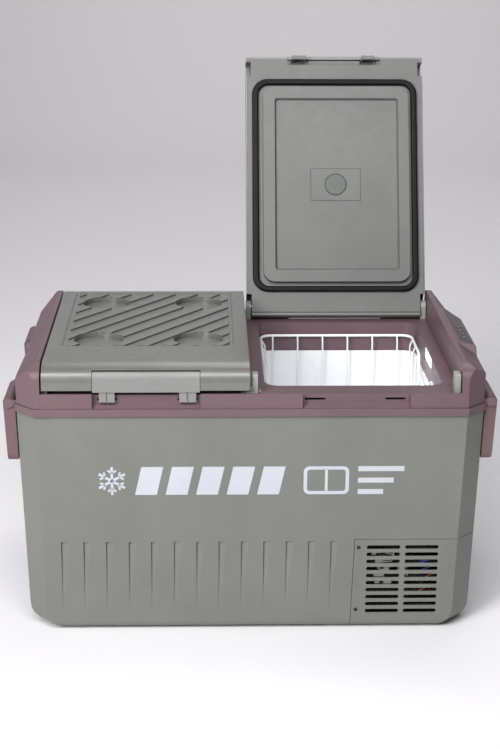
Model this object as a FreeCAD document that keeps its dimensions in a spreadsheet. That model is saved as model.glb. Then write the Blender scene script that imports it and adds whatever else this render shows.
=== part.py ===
# Two-zone compressor cooler fridge: chest body with two lids, swing handles and a
# compressor bay at the lower right. Millimetres, +Z up. The working coordinates have
# x = 0 on the centre plane, y = 0 at the front trim band and z = 0 on the floor; every
# sub-part is then shifted by -origin_y so that the origin is under the middle of the
# whole object. The left lid is closed and the right lid stands open.
import FreeCAD, Part
import math
import os
import re
from FreeCAD import Vector, Placement, Rotation

os.makedirs("parts", exist_ok=True)
doc = FreeCAD.newDocument("CoolerFridge")

# ---------------------------------------------------------------- driving sizes
SIZES = [
    ("origin_y", 318.3, "distance from the front trim to the origin"),
    ("frame_half", 365.2, "half width over the trim band"),
    ("frame_depth", 480.0, "depth over the trim band"),
    ("corner", 30.2, "45 degree corner chamfer at the trim"),
    ("z_trim", 366.0, "lower edge of the trim band"),
    ("z_ledge", 378.0, "upper edge of the trim band"),
    ("z_land", 398.0, "land that carries the lids"),
    ("z_lip", 402.0, "front and rear lip"),
    ("z_top", 446.0, "top of side walls and lids"),
    ("setback", 1.8, "upper frame face behind the band"),
    ("wall_in", 324.0, "inner face of a side wall"),
    ("ridge", 333.0, "outer edge of the side wall's ridge"),
    ("z_slope", 409.0, "foot of the side wall's slope"),
    ("shell_half", 363.4, "half width of the cabinet at its top"),
    ("shell_front", 4.0, "cabinet front behind the band at its top"),
    ("draft", 0.03, "taper of the cabinet walls"),
    ("shell_wall", 4.0, "cabinet wall"),
    ("z_base", 3.5, "underside of the cabinet"),
    ("side_round", 36.0, "radius of the lower side edges"),
    ("corner_round", 30.0, "radius of the lower corner edges"),
    ("front_round", 13.0, "radius of the lower front and rear edges"),
    ("open_in", 22.0, "opening, inner edge from centre"),
    ("open_out", 302.5, "opening, outer edge from centre"),
    ("open_front", 56.0, "opening, front edge"),
    ("open_rear", 422.0, "opening, rear edge"),
    ("open_round", 24.0, "opening corner radius"),
    ("z_collar", 347.0, "lower edge of the opening collar"),
    ("collar_wall", 3.0, "collar wall"),
    ("liner_wall", 2.0, "tub wall"),
    ("tub_left_z", 52.0, "floor of the left tub"),
    ("tub_right_z", 184.0, "floor of the right tub, above the compressor bay"),
    ("lid_in", 2.75, "lid edge next to the centre"),
    ("lid_out", 321.4, "outer lid edge"),
    ("lid_front", 2.95, "lid front face"),
    ("z_lid", 405.9, "underside of the lids"),
    ("lid_wall", 3.5, "lid cover wall"),
    ("hinge_y", 454.0, "lid hinge axis, depth"),
    ("hinge_z", 419.0, "lid hinge axis, height"),
    ("tail", 20.5, "round end of the lid behind the hinge axis"),
    ("lid_open", 111.8, "angle of the open right lid"),
    ("pin_d", 6.0, "lid hinge pin diameter"),
    ("latch_in", 79.2, "latch edge nearest the centre"),
    ("latch_w", 164.5, "latch width"),
    ("latch_y", 12.5, "latch pivot, depth"),
    ("latch_z", 429.0, "latch pivot, height"),
    ("handle_x", 375.2, "handle hinge axis from centre"),
    ("handle_z", 378.0, "handle hinge axis height"),
    ("handle_hub", 9.2, "handle hub radius"),
    ("handle_front", 37.0, "handle front end"),
    ("handle_rear", 441.0, "handle rear end"),
    ("handle_low", 280.5, "lowest edge of the handle"),
    ("grip_top", 299.5, "top of the grip bar"),
    ("arm_w", 86.0, "width of a handle arm"),
    ("foot_d", 26.0, "rubber foot diameter"),
    ("bay_x", 6.0, "compressor bay, inner wall"),
    ("bay_z", 158.0, "compressor bay, ceiling"),
    ("vent_top", 157.6, "top edge of the vent cover"),
    ("fan_size", 92.0, "fan frame side"),
    ("comp_x", 226.0, "compressor centre"),
    ("comp_y", 330.0, "compressor centre"),
    ("comp_r", 62.0, "compressor shell radius"),
    ("plate_x", 118.1, "lid plate, edge nearest the centre"),
    ("plate_w", 89.1, "lid plate width"),
    ("bracket_half", 11.0, "half depth of a hinge bracket"),
]
sheet = doc.addObject("Spreadsheet::Sheet", "Sizes")
for i, (alias, value, note) in enumerate(SIZES, start=1):
    sheet.set("A%d" % i, alias)
    sheet.set("B%d" % i, str(value))
    sheet.setAlias("B%d" % i, alias)
    sheet.set("C%d" % i, note)
doc.recompute()
NAMES = [a for a, _, _ in SIZES]


def g(alias):
    return float(sheet.get(alias))


def rx(e):
    """Expression text with every size name pointed at the sheet."""
    if isinstance(e, (int, float)):
        return repr(float(e))
    return re.sub(r"[A-Za-z_][A-Za-z_0-9]*", lambda m: "Sizes." + m.group(0) if m.group(0) in NAMES else m.group(0), e)


def val(e):
    if isinstance(e, (int, float)):
        return float(e)
    total = doc.getObject("Sizes").evalExpression(rx(e))
    return float(total)


count = [0]


def new(kind, name=None):
    count[0] += 1
    return doc.addObject(kind, name or "op%03d" % count[0])


def place(o, x, y, z):
    for ax, e in zip("xyz", (x, y, z)):
        o.setExpression(".Placement.Base." + ax, rx(e))


def box(x, y, z, dx, dy, dz):
    """Box from a low corner and three lengths, all bound to the sheet."""
    o = new("Part::Box")
    for prop, e in (("Length", dx), ("Width", dy), ("Height", dz)):
        o.setExpression(prop, rx(e))
    place(o, x, y, z)
    return o


TURN = {"z": Rotation(), "x": Rotation(Vector(0, 1, 0), 90), "y": Rotation(Vector(1, 0, 0), -90)}


def cyl(x, y, z, r, length, axis="z"):
    o = new("Part::Cylinder")
    o.setExpression("Radius", rx(r))
    o.setExpression("Height", rx(length))
    o.Placement = Placement(Vector(), TURN[axis])
    place(o, x, y, z)
    return o


def cone(x, y, z, r1, r2, length, axis="z"):
    o = new("Part::Cone")
    o.setExpression("Radius1", rx(r1))
    o.setExpression("Radius2", rx(r2))
    o.setExpression("Height", rx(length))
    o.Placement = Placement(Vector(), TURN[axis])
    place(o, x, y, z)
    return o


def torus(x, y, z, r1, r2):
    o = new("Part::Torus")
    o.setExpression("Radius1", rx(r1))
    o.setExpression("Radius2", rx(r2))
    place(o, x, y, z)
    return o


def fuse(*parts):
    o = new("Part::MultiFuse")
    o.Shapes = list(parts)
    o.Refine = True
    return o


def cut(base, *tools):
    o = new("Part::Cut")
    o.Base = base
    o.Tool = tools[0] if len(tools) == 1 else fuse(*tools)
    return o


def common(a, b):
    o = new("Part::Common")
    o.Base = a
    o.Tool = b
    return o


def group(*parts):
    o = new("Part::Compound")
    o.Links = list(parts)
    return o


def mirror(o):
    m = new("Part::Mirroring")
    m.Source = o
    m.Base = Vector(0, 0, 0)
    m.Normal = Vector(1, 0, 0)
    return m


def feature(shape, name=None):
    o = new("Part::Feature", name)
    o.Shape = shape
    return o


def body_pad(points, plane, start, length, fillet=None):
    """PartDesign body: a closed sketch of straight edges whose corners are bound to
    the sheet, padded from 'start' over 'length'. plane XZ_Plane pads along +Y,
    YZ_Plane along +X and XY_Plane along +Z."""
    import Sketcher
    b = new("PartDesign::Body")
    sk = b.newObject("Sketcher::SketchObject", b.Name + "_sketch")
    sk.AttachmentSupport = [([f for f in b.Origin.OriginFeatures if f.Role == plane][0], "")]
    sk.MapMode = "FlatFace"
    pts = [(val(u), val(w)) for u, w in points]
    n = len(pts)
    for i in range(n):
        a, c = pts[i], pts[(i + 1) % n]
        sk.addGeometry(Part.LineSegment(Vector(a[0], a[1], 0), Vector(c[0], c[1], 0)), False)
    for i in range(n):
        sk.addConstraint(Sketcher.Constraint("Coincident", i, 2, (i + 1) % n, 1))
    for i, (u, w) in enumerate(points):
        for kind, e in (("DistanceX", u), ("DistanceY", w)):
            k = sk.addConstraint(Sketcher.Constraint(kind, -1, 1, i, 1, val(e)))
            if not isinstance(e, (int, float)):
                sk.setExpression("Constraints[%d]" % k, rx(e))
    # the XZ plane's normal points to -Y, so its sketch is moved the other way
    sign = "-1 * " if plane == "XZ_Plane" else ""
    sk.setExpression(".AttachmentOffset.Base.z", "%s(%s)" % (sign, rx(start)))
    pad = b.newObject("PartDesign::Pad", b.Name + "_pad")
    pad.Profile = sk
    pad.setExpression("Length", rx(length))
    if plane == "XZ_Plane":
        pad.Reversed = True
    b.Tip = pad
    if fillet:
        edges_of, radius = fillet
        doc.recompute()
        names = ["Edge%d" % (i + 1) for i, e in enumerate(pad.Shape.Edges) if edges_of(e)]
        fl = b.newObject("PartDesign::Fillet", b.Name + "_fillet")
        fl.Base = (pad, names)
        fl.setExpression("Radius", rx(radius))
        b.Tip = fl
    return b


# ---------------------------------------------------------------- plain shape helpers
def poly(points, to3d):
    """Closed wire through (u, v, radius) corners, each rounded by its radius."""
    n = len(points)
    P = [Vector(p[0], p[1], 0) for p in points]
    R = [p[2] if len(p) > 2 else 0 for p in points]
    ends = []
    for i in range(n):
        a, b, c = P[i - 1], P[i], P[(i + 1) % n]
        d1, d2 = (a - b).normalize(), (c - b).normalize()
        if R[i] <= 0:
            ends.append((b, None, b))
            continue
        half = math.acos(max(-1, min(1, d1.dot(d2)))) / 2
        t = R[i] / math.tan(half)
        mid = (d1 + d2).normalize()
        centre = b + mid * (R[i] / math.sin(half))
        ends.append((b + d1 * t, centre - mid * R[i], b + d2 * t))
    edges = []
    for i in range(n):
        p, m, q = ends[i]
        if m is not None:
            edges.append(Part.Arc(to3d(p), to3d(m), to3d(q)).toShape())
        nxt = ends[(i + 1) % n][0]
        if (nxt - q).Length > 1e-6:
            edges.append(Part.LineSegment(to3d(q), to3d(nxt)).toShape())
    return Part.Wire(edges)


def prism_z(points, z0, z1):
    return Part.Face(poly(points, lambda p: Vector(p.x, p.y, z0))).extrude(Vector(0, 0, z1 - z0))


def prism_x(points, x0, x1):
    """points are (y, z[, radius])"""
    return Part.Face(poly(points, lambda p: Vector(x0, p.x, p.y))).extrude(Vector(x1 - x0, 0, 0))


def prism_y(points, y0, y1):
    """points are (x, z[, radius])"""
    return Part.Face(poly(points, lambda p: Vector(p.x, y0, p.y))).extrude(Vector(0, y1 - y0, 0))


def block(x0, x1, y0, y1, z0, z1):
    return Part.makeBox(x1 - x0, y1 - y0, z1 - z0, Vector(x0, y0, z0))


def octagon(hx, y0, y1, c):
    return [(-hx + c, y0), (hx - c, y0), (hx, y0 + c), (hx, y1 - c), (hx - c, y1), (-hx + c, y1), (-hx, y1 - c), (-hx, y0 + c)]


def rrect(x0, x1, y0, y1, r):
    return [(x0, y0, r), (x1, y0, r), (x1, y1, r), (x0, y1, r)]


def oct_in(d):
    """Octagon of the trim band moved inwards by d."""
    return octagon(g("frame_half") - d, d, g("frame_depth") - d, g("corner") - 0.586 * d)


def solid(shape):
    """The single solid of a boolean's result, with split faces merged."""
    s = shape.removeSplitter()
    if s.ShapeType == "Compound" and len(s.Solids) == 1:
        s = s.Solids[0]
    return s


FLIP = Vector(1, 0, 0)


def flip(s):
    return s.mirror(Vector(0, 0, 0), FLIP)


OUT = {}
shift = Placement(Vector(0, -g("origin_y"), 0), Rotation())
hinge_c = Vector(0, g("hinge_y"), g("hinge_z"))
opened = shift.multiply(Placement(Vector(0, 0, 0), Rotation(Vector(-1, 0, 0), g("lid_open")), hinge_c))


def out(name, o, placement=None):
    o.Label = name
    if placement is None:
        o.Placement = shift
        o.setExpression(".Placement.Base.y", "-Sizes.origin_y")
    else:
        o.Placement = placement
    OUT[name] = o
    return o


# ---------------------------------------------------------------- cabinet
fh, fd, ch = g("frame_half"), g("frame_depth"), g("corner")
sh, sf, k = g("shell_half"), g("shell_front"), g("draft")
zt, zb = g("z_trim"), g("z_base")


def cabinet(inset, z_low, z_high, ch_extra=0.0):
    """Tapered eight-sided body with rounded lower edges, moved inwards by inset."""
    def ring(z):
        d = k * (zt - z) + inset
        pts = octagon(sh - d, sf + d, fd - sf - d, ch - 1.0 - 0.586 * inset)
        return [Vector(x, y, z) for x, y in pts]
    low, high = ring(z_low), ring(z_high)
    n = len(low)
    loops = [low, high] + [[low[i], low[(i + 1) % n], high[(i + 1) % n], high[i]] for i in range(n)]
    body = Part.Solid(Part.Shell([Part.Face(Part.makePolygon(q + [q[0]])) for q in loops]))
    if body.Volume < 0:
        body.reverse()
    zf = zb + inset
    def at(z):
        return k * (zt - z) + inset
    x_hi, x_lo = sh - at(500), sh - at(zf)
    front = prism_y([(-x_lo, zf, g("side_round") - inset), (x_lo, zf, g("side_round") - inset), (x_hi, 500), (-x_hi, 500)], -20, fd + 20)
    y_lo, y_hi = sf + at(zf), sf + at(500)
    side = prism_x([(y_lo, zf, g("front_round") - inset), (fd - y_lo, zf, g("front_round") - inset), (fd - y_hi, 500), (y_hi, 500)], -400, 400)
    body = body.common(front).common(side)
    def half(z):
        return (sh - (ch - 1.0 - 0.586 * inset) + fd / 2 - sf - 2 * at(z)) / math.sqrt(2) + 0.05
    lo_, hi_, r_ = half(zf), half(500), g("corner_round") - inset
    for turn in (-135, 135):
        p = prism_x([(-lo_, zf, r_), (lo_, zf, r_), (hi_, 500), (-hi_, 500)], -700, 700)
        p.Placement = Placement(Vector(0, fd / 2, 0), Rotation(Vector(0, 0, 1), turn))
        body = body.common(p)
    return body


wall = g("shell_wall")
outer = cabinet(0.0, zb - 1, zt)
inner = cabinet(wall, zb - 1, zt + 1)
shell = outer.cut(inner)

# shallow wedge pockets along the lower front: deep at the top left, running out to
# nothing at the lower right
y_front = lambda z: sf + k * (zt - z)
for x0 in (-298.8, -263.6, -228.1, -192.3, -157.0, -121.2, -85.6, -50.5, -15.1, 20.2, 55.7, 91.1, 126.4):
    z1, z0, w, d = 154.3, 34.0, 12.5, 3.0
    a = Vector(x0, y_front(z1) - 3, z1)
    b = Vector(x0, y_front(z1) + d, z1)
    c = Vector(x0 + w, y_front(z1) - 3, z1)
    c2 = Vector(x0 + w, y_front(z1), z1)
    e = Vector(x0, y_front(z0), z0)
    e2 = Vector(x0, y_front(z0) - 3, z0)
    f = Vector(x0 + w, y_front(z0) - 3, z0)
    faces = []
    for loop in ([a, b, c2, c], [a, e2, e, b], [b, e, c2], [c2, e, f, c] , [a, c, f, e2], [e2, f, e]):
        try:
            faces.append(Part.Face(Part.makePolygon(loop + [loop[0]])))
        except Exception:
            faces += [Part.Face(Part.makePolygon([loop[0], loop[1], loop[2], loop[0]])), Part.Face(Part.makePolygon([loop[0], loop[2], loop[3], loop[0]]))]
    wedge = Part.Solid(Part.Shell(faces))
    if wedge.Volume < 0:
        wedge.reverse()
    shell = shell.cut(wedge)

# corner vent cover: its outline is cut out of the cabinet
vt = g("vent_top")
def vent_zone(gap):
    z = prism_y([(164.4 + gap, vt - gap), (160.5 + gap, 18.6), (157.6 + gap, -5), (420, -5), (420, vt - gap)], -20, 262 - gap)
    keep = block(-10, sh - 34 + gap, y_front(0) + 16 - gap, 500, -10, zb + wall + 4 + gap)
    return z.cut(keep)
vent = outer.cut(inner).common(vent_zone(0.7))
shell = shell.cut(vent_zone(0.0))


def slot_y(cx, w, cz, hh, y0, y1):
    r = hh / 2 - 0.5
    return prism_y([(cx - w / 2, cz - hh / 2, r), (cx + w / 2, cz - hh / 2, r), (cx + w / 2, cz + hh / 2, r), (cx - w / 2, cz + hh / 2, r)], y0, y1)


def slot_x(cy, w, cz, hh, x0, x1):
    return block(x0, x1, cy - w / 2, cy + w / 2, cz - hh / 2, cz + hh / 2)


slots = []
for i in range(10):
    z = 143.3 - i * 12.4
    slots.append(slot_y(210.8, 53.0, z, 6.3, 0, 40))
    slots.append(slot_y(271.8, 52.8, z, 6.3, 0, 40))
    if z > 50:
        slots.append(slot_x(92, 62.2, z + 0.1, 5.6, 320, 380))
        slots.append(slot_x(178, 86.2, z + 0.1, 5.6, 320, 380))
thin = [(y_front(z) + a, z) for a, z in ((1.8, 151), (1.8, 24), (9, 24), (9, 151))]
vent = vent.cut(prism_x(thin, 181, 302)).cut(Part.makeCompound(slots))
screw_at = [(171.4, 143.0), (169.2, 34.0)]
for x, z in screw_at:
    bore = Part.makeCylinder(3.2, 3.3, Vector(x, y_front(z) - 2.2, z), Vector(0, 1, 0))
    bore = bore.fuse(Part.makeCylinder(1.6, 12, Vector(x, y_front(z), z), Vector(0, 1, 0))).removeSplitter()
    vent = vent.cut(bore)
# power inlets sit low on the rear wall of the compressor bay
rear = lambda z: fd - sf - k * (zt - z)
pin_x, pin_z = 286.0, 60.0
shell = shell.cut(block(pin_x - 46, pin_x + 26, rear(60) - 30, rear(60) + 30, 38, 82))
out("body_shell", feature(solid(shell)))
out("vent_cover", feature(solid(vent)))
out("vent_cover_screws", group(*[
    cut(fuse(cyl(x, y_front(z) - 0.4, z, 2.9, 1.4, "y"), cyl(x, y_front(z) + 0.9, z, 1.5, 9, "y")),
        box(x - 2, y_front(z) - 1.4, z - 0.4, 4, 1.8, 0.8), box(x - 0.4, y_front(z) - 1.4, z - 2, 0.8, 1.8, 4)) for x, z in screw_at]))

# four rubber feet pressed against the underside
foot_at = [(-285, 62), (285, 62), (-285, 418), (285, 418)]
out("rubber_feet", group(*[cone(x, y, 0, "foot_d / 2 - 1.5", "foot_d / 2", "z_base") for x, y in foot_at]))

# ---------------------------------------------------------------- top frame
s0 = g("setback")
zl, zp, zlip, zr = g("z_ledge"), g("z_land"), g("z_lip"), g("z_top")
wi, rg, zs = g("wall_in"), g("ridge"), g("z_slope")
oi, oo, of_, orr, orad = g("open_in"), g("open_out"), g("open_front"), g("open_rear"), g("open_round")


def crown(y0, z_low, rear_pts, top=None):
    """Outline (y, z) of a lid or side wall: the front goes up, curves over and runs flat."""
    t = zr if top is None else top
    return [(y0, z_low, 0), (y0, t - 13.0, 24.0), (y0 + 24.0, t, 46.0)] + rear_pts


def wall_section(y, z_out):
    """Side wall outline at depth y: upright inside, ridge, outward slope down to z_out, upright outside."""
    return poly([(wi, zl), (wi, zr, 2.0), (rg, zr, 4.0), (fh - s0, z_out, 5.0), (fh - s0, zl)], lambda p: Vector(p.x, y, p.y))


def side_wall(stations):
    w = Part.makeLoft([wall_section(y, z) for y, z in stations], True, True)
    w = w.common(prism_z(oct_in(s0), zl, zr + 5))
    return w.common(prism_x(crown(s0, zl - 2, [(fd - s0, zr, 14.0), (fd - s0, zl - 2, 0)]), 300, 400))


side_r = side_wall([(s0 - 1, 427.0), (150, 427.0), (185, 414.0), (fd - s0 + 1, zs)])
side_l = flip(side_wall([(s0 - 1, 422.0), (60, 420.0), (175, 413.5), (fd - s0 + 1, 411.0)]))
# raised housing for the control panel on the right wall
ramp = [(52, zr - 70), (102, zr - 42), (138, zr + 3), (138, zr + 30), (20, zr + 30), (20, zr - 70)]
pan = prism_y([(rg - 4, zr - 8), (rg - 4, zr - 0.4), (rg + 2, zr - 0.4), (fh - s0, zr - 6.4, 2.5), (fh - s0, zs - 6), (rg - 4, zr - 30)], 60, 400)
pan = pan.cut(prism_z([(rg - 6, 374), (fh, 288), (fh + 40, 288), (fh + 40, 480), (rg - 6, 480)], zr - 60, zr + 20))
pan = pan.cut(prism_x(ramp, rg + 1.0, 420)).cut(prism_x(ramp, rg - 20, rg + 1.1))
side_r = side_r.fuse(pan).removeSplitter()
# trim band, upper frame with its land, front lip; hollow underneath
land_cut = block(-wi, wi, 5.0, fd + 5.0, zp, zlip + 5)
frame = prism_z(octagon(fh, 0, fd, ch), zt, zl).fuse(prism_z(oct_in(s0), zl, zlip)).cut(land_cut)
hollow = prism_z(oct_in(6.0), zt - 1, zp - 4.0)
hollow_side = prism_y([(wi + 4, zl - 2), (wi + 4, zr - 5), (rg - 1.5, zr - 5), (fh - 6, zs - 2), (fh - 6, zl - 2)], 8, fd - 8).common(
    prism_z(oct_in(6.0), zl - 2, zr)).common(prism_x(crown(8, zl - 3, [(fd - 8, zr - 4, 12.0), (fd - 8, zl - 3, 0)], zr - 4), 300, 400))
frame = frame.cut(hollow)
side_r = side_r.cut(hollow_side)
side_l = side_l.cut(flip(hollow_side))
# latch recesses, two in front and two behind
for sx in (1, -1):
    for rear_side in (False, True):
        def yy(a, b):
            return (fd - b, fd - a) if rear_side else (a, b)
        a, b = yy(3.0, 30.0 if rear_side else 15.5)
        x0, x1 = sorted((sx * 74.5, sx * 248.6))
        frame = frame.fuse(block(x0, x1, a, b, zt, zp))
        x0, x1 = sorted((sx * 78.5, sx * 244.6))
        pts = [(-2, zl), (5, zl), (12.4, zl + 6), (12.4, zlip + 3), (-2, zlip + 3)]
        if rear_side:
            pts = [(fd - y, z) for y, z in pts]
        frame = frame.cut(prism_x(pts, x0, x1))
        if rear_side:
            # the recess floor runs forwards under the lid's round tail as a shallow slope
            frame = frame.cut(prism_x([(fd - 29.0, zp - 0.6), (fd + 2, zp - 9.4), (fd + 2, zlip + 3), (fd - 29.0, zlip + 3)], x0, x1))
        a, b = yy(12.0, 19)
        for c0, c1 in ((82.5, 113.5), (207.0, 237.0)):
            x0, x1 = sorted((sx * c0, sx * c1))
            frame = frame.cut(block(x0, x1, a, b, 388.8, 392.4) if not rear_side else block(x0, x1, a, b, 380.5, 384.0))
# openings
for sx in (1, -1):
    hole = prism_z(rrect(oi, oo, of_, orr, orad), g("z_collar") - 1, zlip + 1)
    frame = frame.cut(flip(hole) if sx < 0 else hole)
# the upper frame stops at the side walls, which stand on the band
walls = [block(wi, fh - s0, -10, fd + 10, zl, 500), block(-(fh - s0), -wi, -10, fd + 10, zl, 500)]
frame = frame.cut(walls)
# lugs that carry the handle pins, and the round end plates in front of and behind each handle
hx, hz, hub = g("handle_x"), g("handle_z"), g("handle_hub")
y_f, y_r, aw = g("handle_front"), g("handle_rear"), g("arm_w")
for sx in (1, -1):
    for y0, ly, rl, web, back in ((y_f + aw + 0.6, 12, 6.5, 6.5, 0), (y_r - aw - 12.6, 12, 6.5, 6.5, 0), (y_f - 3.6, 3.0, 7.7, 4.6, 0.7), (y_r + 0.6, 3.0, 7.7, 4.6, 0.7)):
        lug = block(fh - 12, hx, y0 + back, y0 + ly - back, hz - web, hz + web).fuse(Part.makeCylinder(rl, ly, Vector(hx, y0, hz), Vector(0, 1, 0)))
        if ly > 5:
            lug = lug.cut(Part.makeCylinder(3.0, 30, Vector(hx, y0 - 5, hz), Vector(0, 1, 0)))
        frame = frame.fuse((lug if sx > 0 else flip(lug)).cut(walls))
# control panel seat: a pocket through the housing top, its plane leaning outwards
lean = math.degrees(math.atan2(6.0, fh - s0 - rg))
pan_rot = Rotation(Vector(0, 1, 0), lean)
pan_o = Vector(rg, 0, zr - 0.4)


def on_panel(s):
    """Shape drawn flat (x from the ridge outwards, y, z up) laid onto the leaning top."""
    return s.transformed(Placement(pan_o, pan_rot).toMatrix(), True)


seat_pts = [(6.2, 149), (27.5, 142), (26.0, 300), (6.4, 354)]
cx_p = sum(p[0] for p in seat_pts) / 4
cy_p = sum(p[1] for p in seat_pts) / 4


def scaled(pts, d):
    """Panel outline moved inwards by d, corners rounded."""
    res = []
    for x, y in pts:
        res.append((x - math.copysign(d, x - cx_p), y - math.copysign(d * (1.6 if y > cy_p else 1.0), y - cy_p), 2.0))
    return res


side_r = side_r.cut(on_panel(prism_z(scaled(seat_pts, 0.0), -1.8, 5)))
side_r = side_r.cut(on_panel(prism_z(scaled(seat_pts, 2.0), -30, 5)).common(block(rg - 1, fh - 5.5, 100, 400, zp - 3, zr + 10)))
out("top_frame", feature(solid(frame)))
out("side_wall_right", feature(solid(side_r)))
out("side_wall_left", feature(solid(side_l)))
cw = g("collar_wall")
for nm, sx in (("opening_collar_left", -1), ("opening_collar_right", 1)):
    ring = prism_z(rrect(oi - cw, oo + cw, of_ - cw, orr + cw, orad + cw), g("z_collar"), zp - 4.0)
    ring = ring.cut(prism_z(rrect(oi, oo, of_, orr, orad), g("z_collar") - 1, zp))
    out(nm, feature(ring if sx > 0 else flip(ring)))

# control panel: window with round keys, circuit board beneath
window = on_panel(prism_z(scaled(seat_pts, 0.25), -1.6, 0.5))
key_at = [(16.0, 172.0), (16.0, 192.0), (16.0, 212.0), (16.0, 232.0)]
key_names = ["power_button", "zone_button", "down_button", "up_button"]
for x, y in key_at:
    window = window.cut(on_panel(Part.makeCylinder(5.6, 10, Vector(x, y, -5))))
out("display_window", feature(solid(window)))
for (x, y), nm in zip(key_at, key_names):
    key = Part.makeCylinder(5.3, 2.6, Vector(x, y, -1.5))
    rim = [e for e in key.Edges if abs(e.BoundBox.ZMin - 1.1) < 0.01]
    out(nm, feature(on_panel(key.makeFillet(0.6, rim))))
board = on_panel(prism_z(scaled(seat_pts, 3.4), -4.6, -3.0))
out("control_board", feature(solid(board)))

# ---------------------------------------------------------------- liners, foam, bay
zc = g("z_collar")
lw = g("liner_wall")
for nm, floor, sx in (("liner_left", g("tub_left_z"), -1), ("liner_right", g("tub_right_z"), 1)):
    def tub(ex, z0, z1):
        def w(z):
            d = 2.0 + 0.012 * (zc - z) - ex
            return poly([(x, y, max(6, r)) for x, y, r in rrect(oi + d, oo - d, of_ + d, orr - d, orad - 2 + ex)], lambda p: Vector(p.x, p.y, z))
        return Part.makeLoft([w(z0), w(z1)], True, True)
    t = tub(lw, floor - lw, zc).cut(tub(0.0, floor, zc + 1))
    flange = prism_z(rrect(oi - cw, oo + cw, of_ - cw, orr + cw, orad + cw), zc - 2.0, zc).cut(tub(0.0, floor, zc + 1))
    t = t.fuse(flange)
    t = solid(t)
    out(nm, feature(t if sx > 0 else flip(t)))

bx, bz = g("bay_x"), g("bay_z")
foam = cabinet(wall + 0.4, zb, zt - 3.0)
foam = foam.cut(block(bx - 1.0, 400, -10, 500, -10, bz + 3.0))
for sx, floor in ((-1, g("tub_left_z")), (1, g("tub_right_z"))):
    hole = prism_z(rrect(oi - 6, oo + 6, of_ - 6, orr + 6, orad + 4), floor - 6, zt + 5)
    foam = foam.cut(hole if sx > 0 else flip(hole))
foam = foam.cut(block(-252, -70, -10, 18.5, 340, 380)).cut(block(70, 252, -10, 18.5, 340, 380))
foam = foam.cut(block(-252, -70, fd - 18.5, 500, 340, 380)).cut(block(70, 252, fd - 18.5, 500, 340, 380))
out("foam_insulation", feature(solid(foam)))

# cooling plates wrapped round three sides of each tub
for nm, z0, z1, sx in (("evaporator_left", 90.0, 300.0, -1), ("evaporator_right", 205.0, 310.0, 1)):
    d = 3.4
    o = prism_z(rrect(oi - d, oo + d, of_ - d, orr + d, orad + d), z0, z1)
    i_ = prism_z(rrect(oi - d + 1.4, oo + d - 1.4, of_ - d + 1.4, orr + d - 1.4, orad + d - 1.4), z0 - 1, z1 + 1)
    p = o.cut(i_).cut(block(oi + 40, oo - 40, of_ - 20, of_ + 20, z0 - 5, z1 + 5))
    p = solid(p)
    out(nm, feature(p if sx > 0 else flip(p)))

# partition between the foam and the compressor bay
part_w = block(bx, bx + 1.5, 24, fd - 24, 12.0, bz + 1.5).fuse(block(bx, 342, 24, fd - 24, bz, bz + 1.5)).common(cabinet(wall + 0.8, zb, zt - 3))
out("bay_partition", feature(solid(part_w)))

# baskets: open-topped tubs of the wire baskets' outer shape
for nm, z0, sx in (("basket_left", g("tub_left_z") + 4, -1), ("basket_right", g("tub_right_z") + 3, 1)):
    b_o = prism_z(rrect(oi + 7.5, oo - 7.5, of_ + 7.5, orr - 7.5, 20), z0, 374).fuse(prism_z(rrect(oi + 2.2, oo - 5.5, of_ + 5.5, orr - 3.2, 21), 366, 379))
    b_i = prism_z(rrect(oi + 8.9, oo - 8.9, of_ + 8.9, orr - 8.9, 18.6), z0 + 1.4, 384).fuse(prism_z(rrect(oi + 3.6, oo - 6.9, of_ + 6.9, orr - 4.6, 19.6), 367.4, 384))
    b = solid(b_o.cut(b_i))
    out(nm, feature(b if sx > 0 else flip(b)))

# light lens in each collar
for nm, sx in (("light_lens_left", -1), ("light_lens_right", 1)):
    lens = box("open_out - 1.5", 200, 381, 1.5, 71, 15.5)
    out(nm, mirror(lens) if sx < 0 else group(lens))

# ---------------------------------------------------------------- compressor bay
tray = cut(box("bay_x + 4", 38, "z_base + shell_wall", 276, 404, 1.6), cyl(60, 60, 0, 5, 30), cyl(60, 400, 0, 5, 30))
out("base_tray", tray)
tz = "z_base + shell_wall + 1.6"
gx = [(-74, -40), (74, -40), (-74, 40), (74, 40)]
out("compressor_grommets", group(*[cyl("comp_x + %g" % a, "comp_y + %g" % b, tz, 9, 9) for a, b in gx]))
# hermetic shell: revolved profile, mounting feet, terminal cover and pipe stubs
r = g("comp_r")
base_z = zb + wall + 1.6 + 9
can = Part.Face(poly([(0, base_z + 1.6), (r * 0.72, base_z + 1.6, 10), (r, base_z + 22, 14), (r, base_z + 60), (r + 2.5, base_z + 60), (r + 2.5, base_z + 63), (r, base_z + 63), (r, base_z + 92, 30), (r * 0.55, base_z + 118, 20), (0, base_z + 121)], lambda p: Vector(p.x, 0, p.y))).revolve(Vector(0, 0, 0), Vector(0, 0, 1), 360)
void = Part.Face(poly([(0, base_z + 7), (r * 0.70, base_z + 7, 8), (r - 5, base_z + 24, 10), (r - 5, base_z + 90, 26), (r * 0.50, base_z + 112, 16), (0, base_z + 115)], lambda p: Vector(p.x, 0, p.y))).revolve(Vector(0, 0, 0), Vector(0, 0, 1), 360)
can = can.cut(void)
can = can.transformed(Placement(Vector(g("comp_x"), g("comp_y"), 0), Rotation()).toMatrix(), True)
void = void.transformed(Placement(Vector(g("comp_x"), g("comp_y"), 0), Rotation()).toMatrix(), True)
feet = block(g("comp_x") - 84, g("comp_x") + 84, g("comp_y") - 54, g("comp_y") + 54, base_z, base_z + 3.2)
term = block(g("comp_x") - 96, g("comp_x") - r + 8, g("comp_y") - 30, g("comp_y") + 30, base_z + 30, base_z + 82)
comp = can.fuse([feet, term.cut(Part.makeCylinder(r - 3, 200, Vector(g("comp_x"), g("comp_y"), 0)))])
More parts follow.
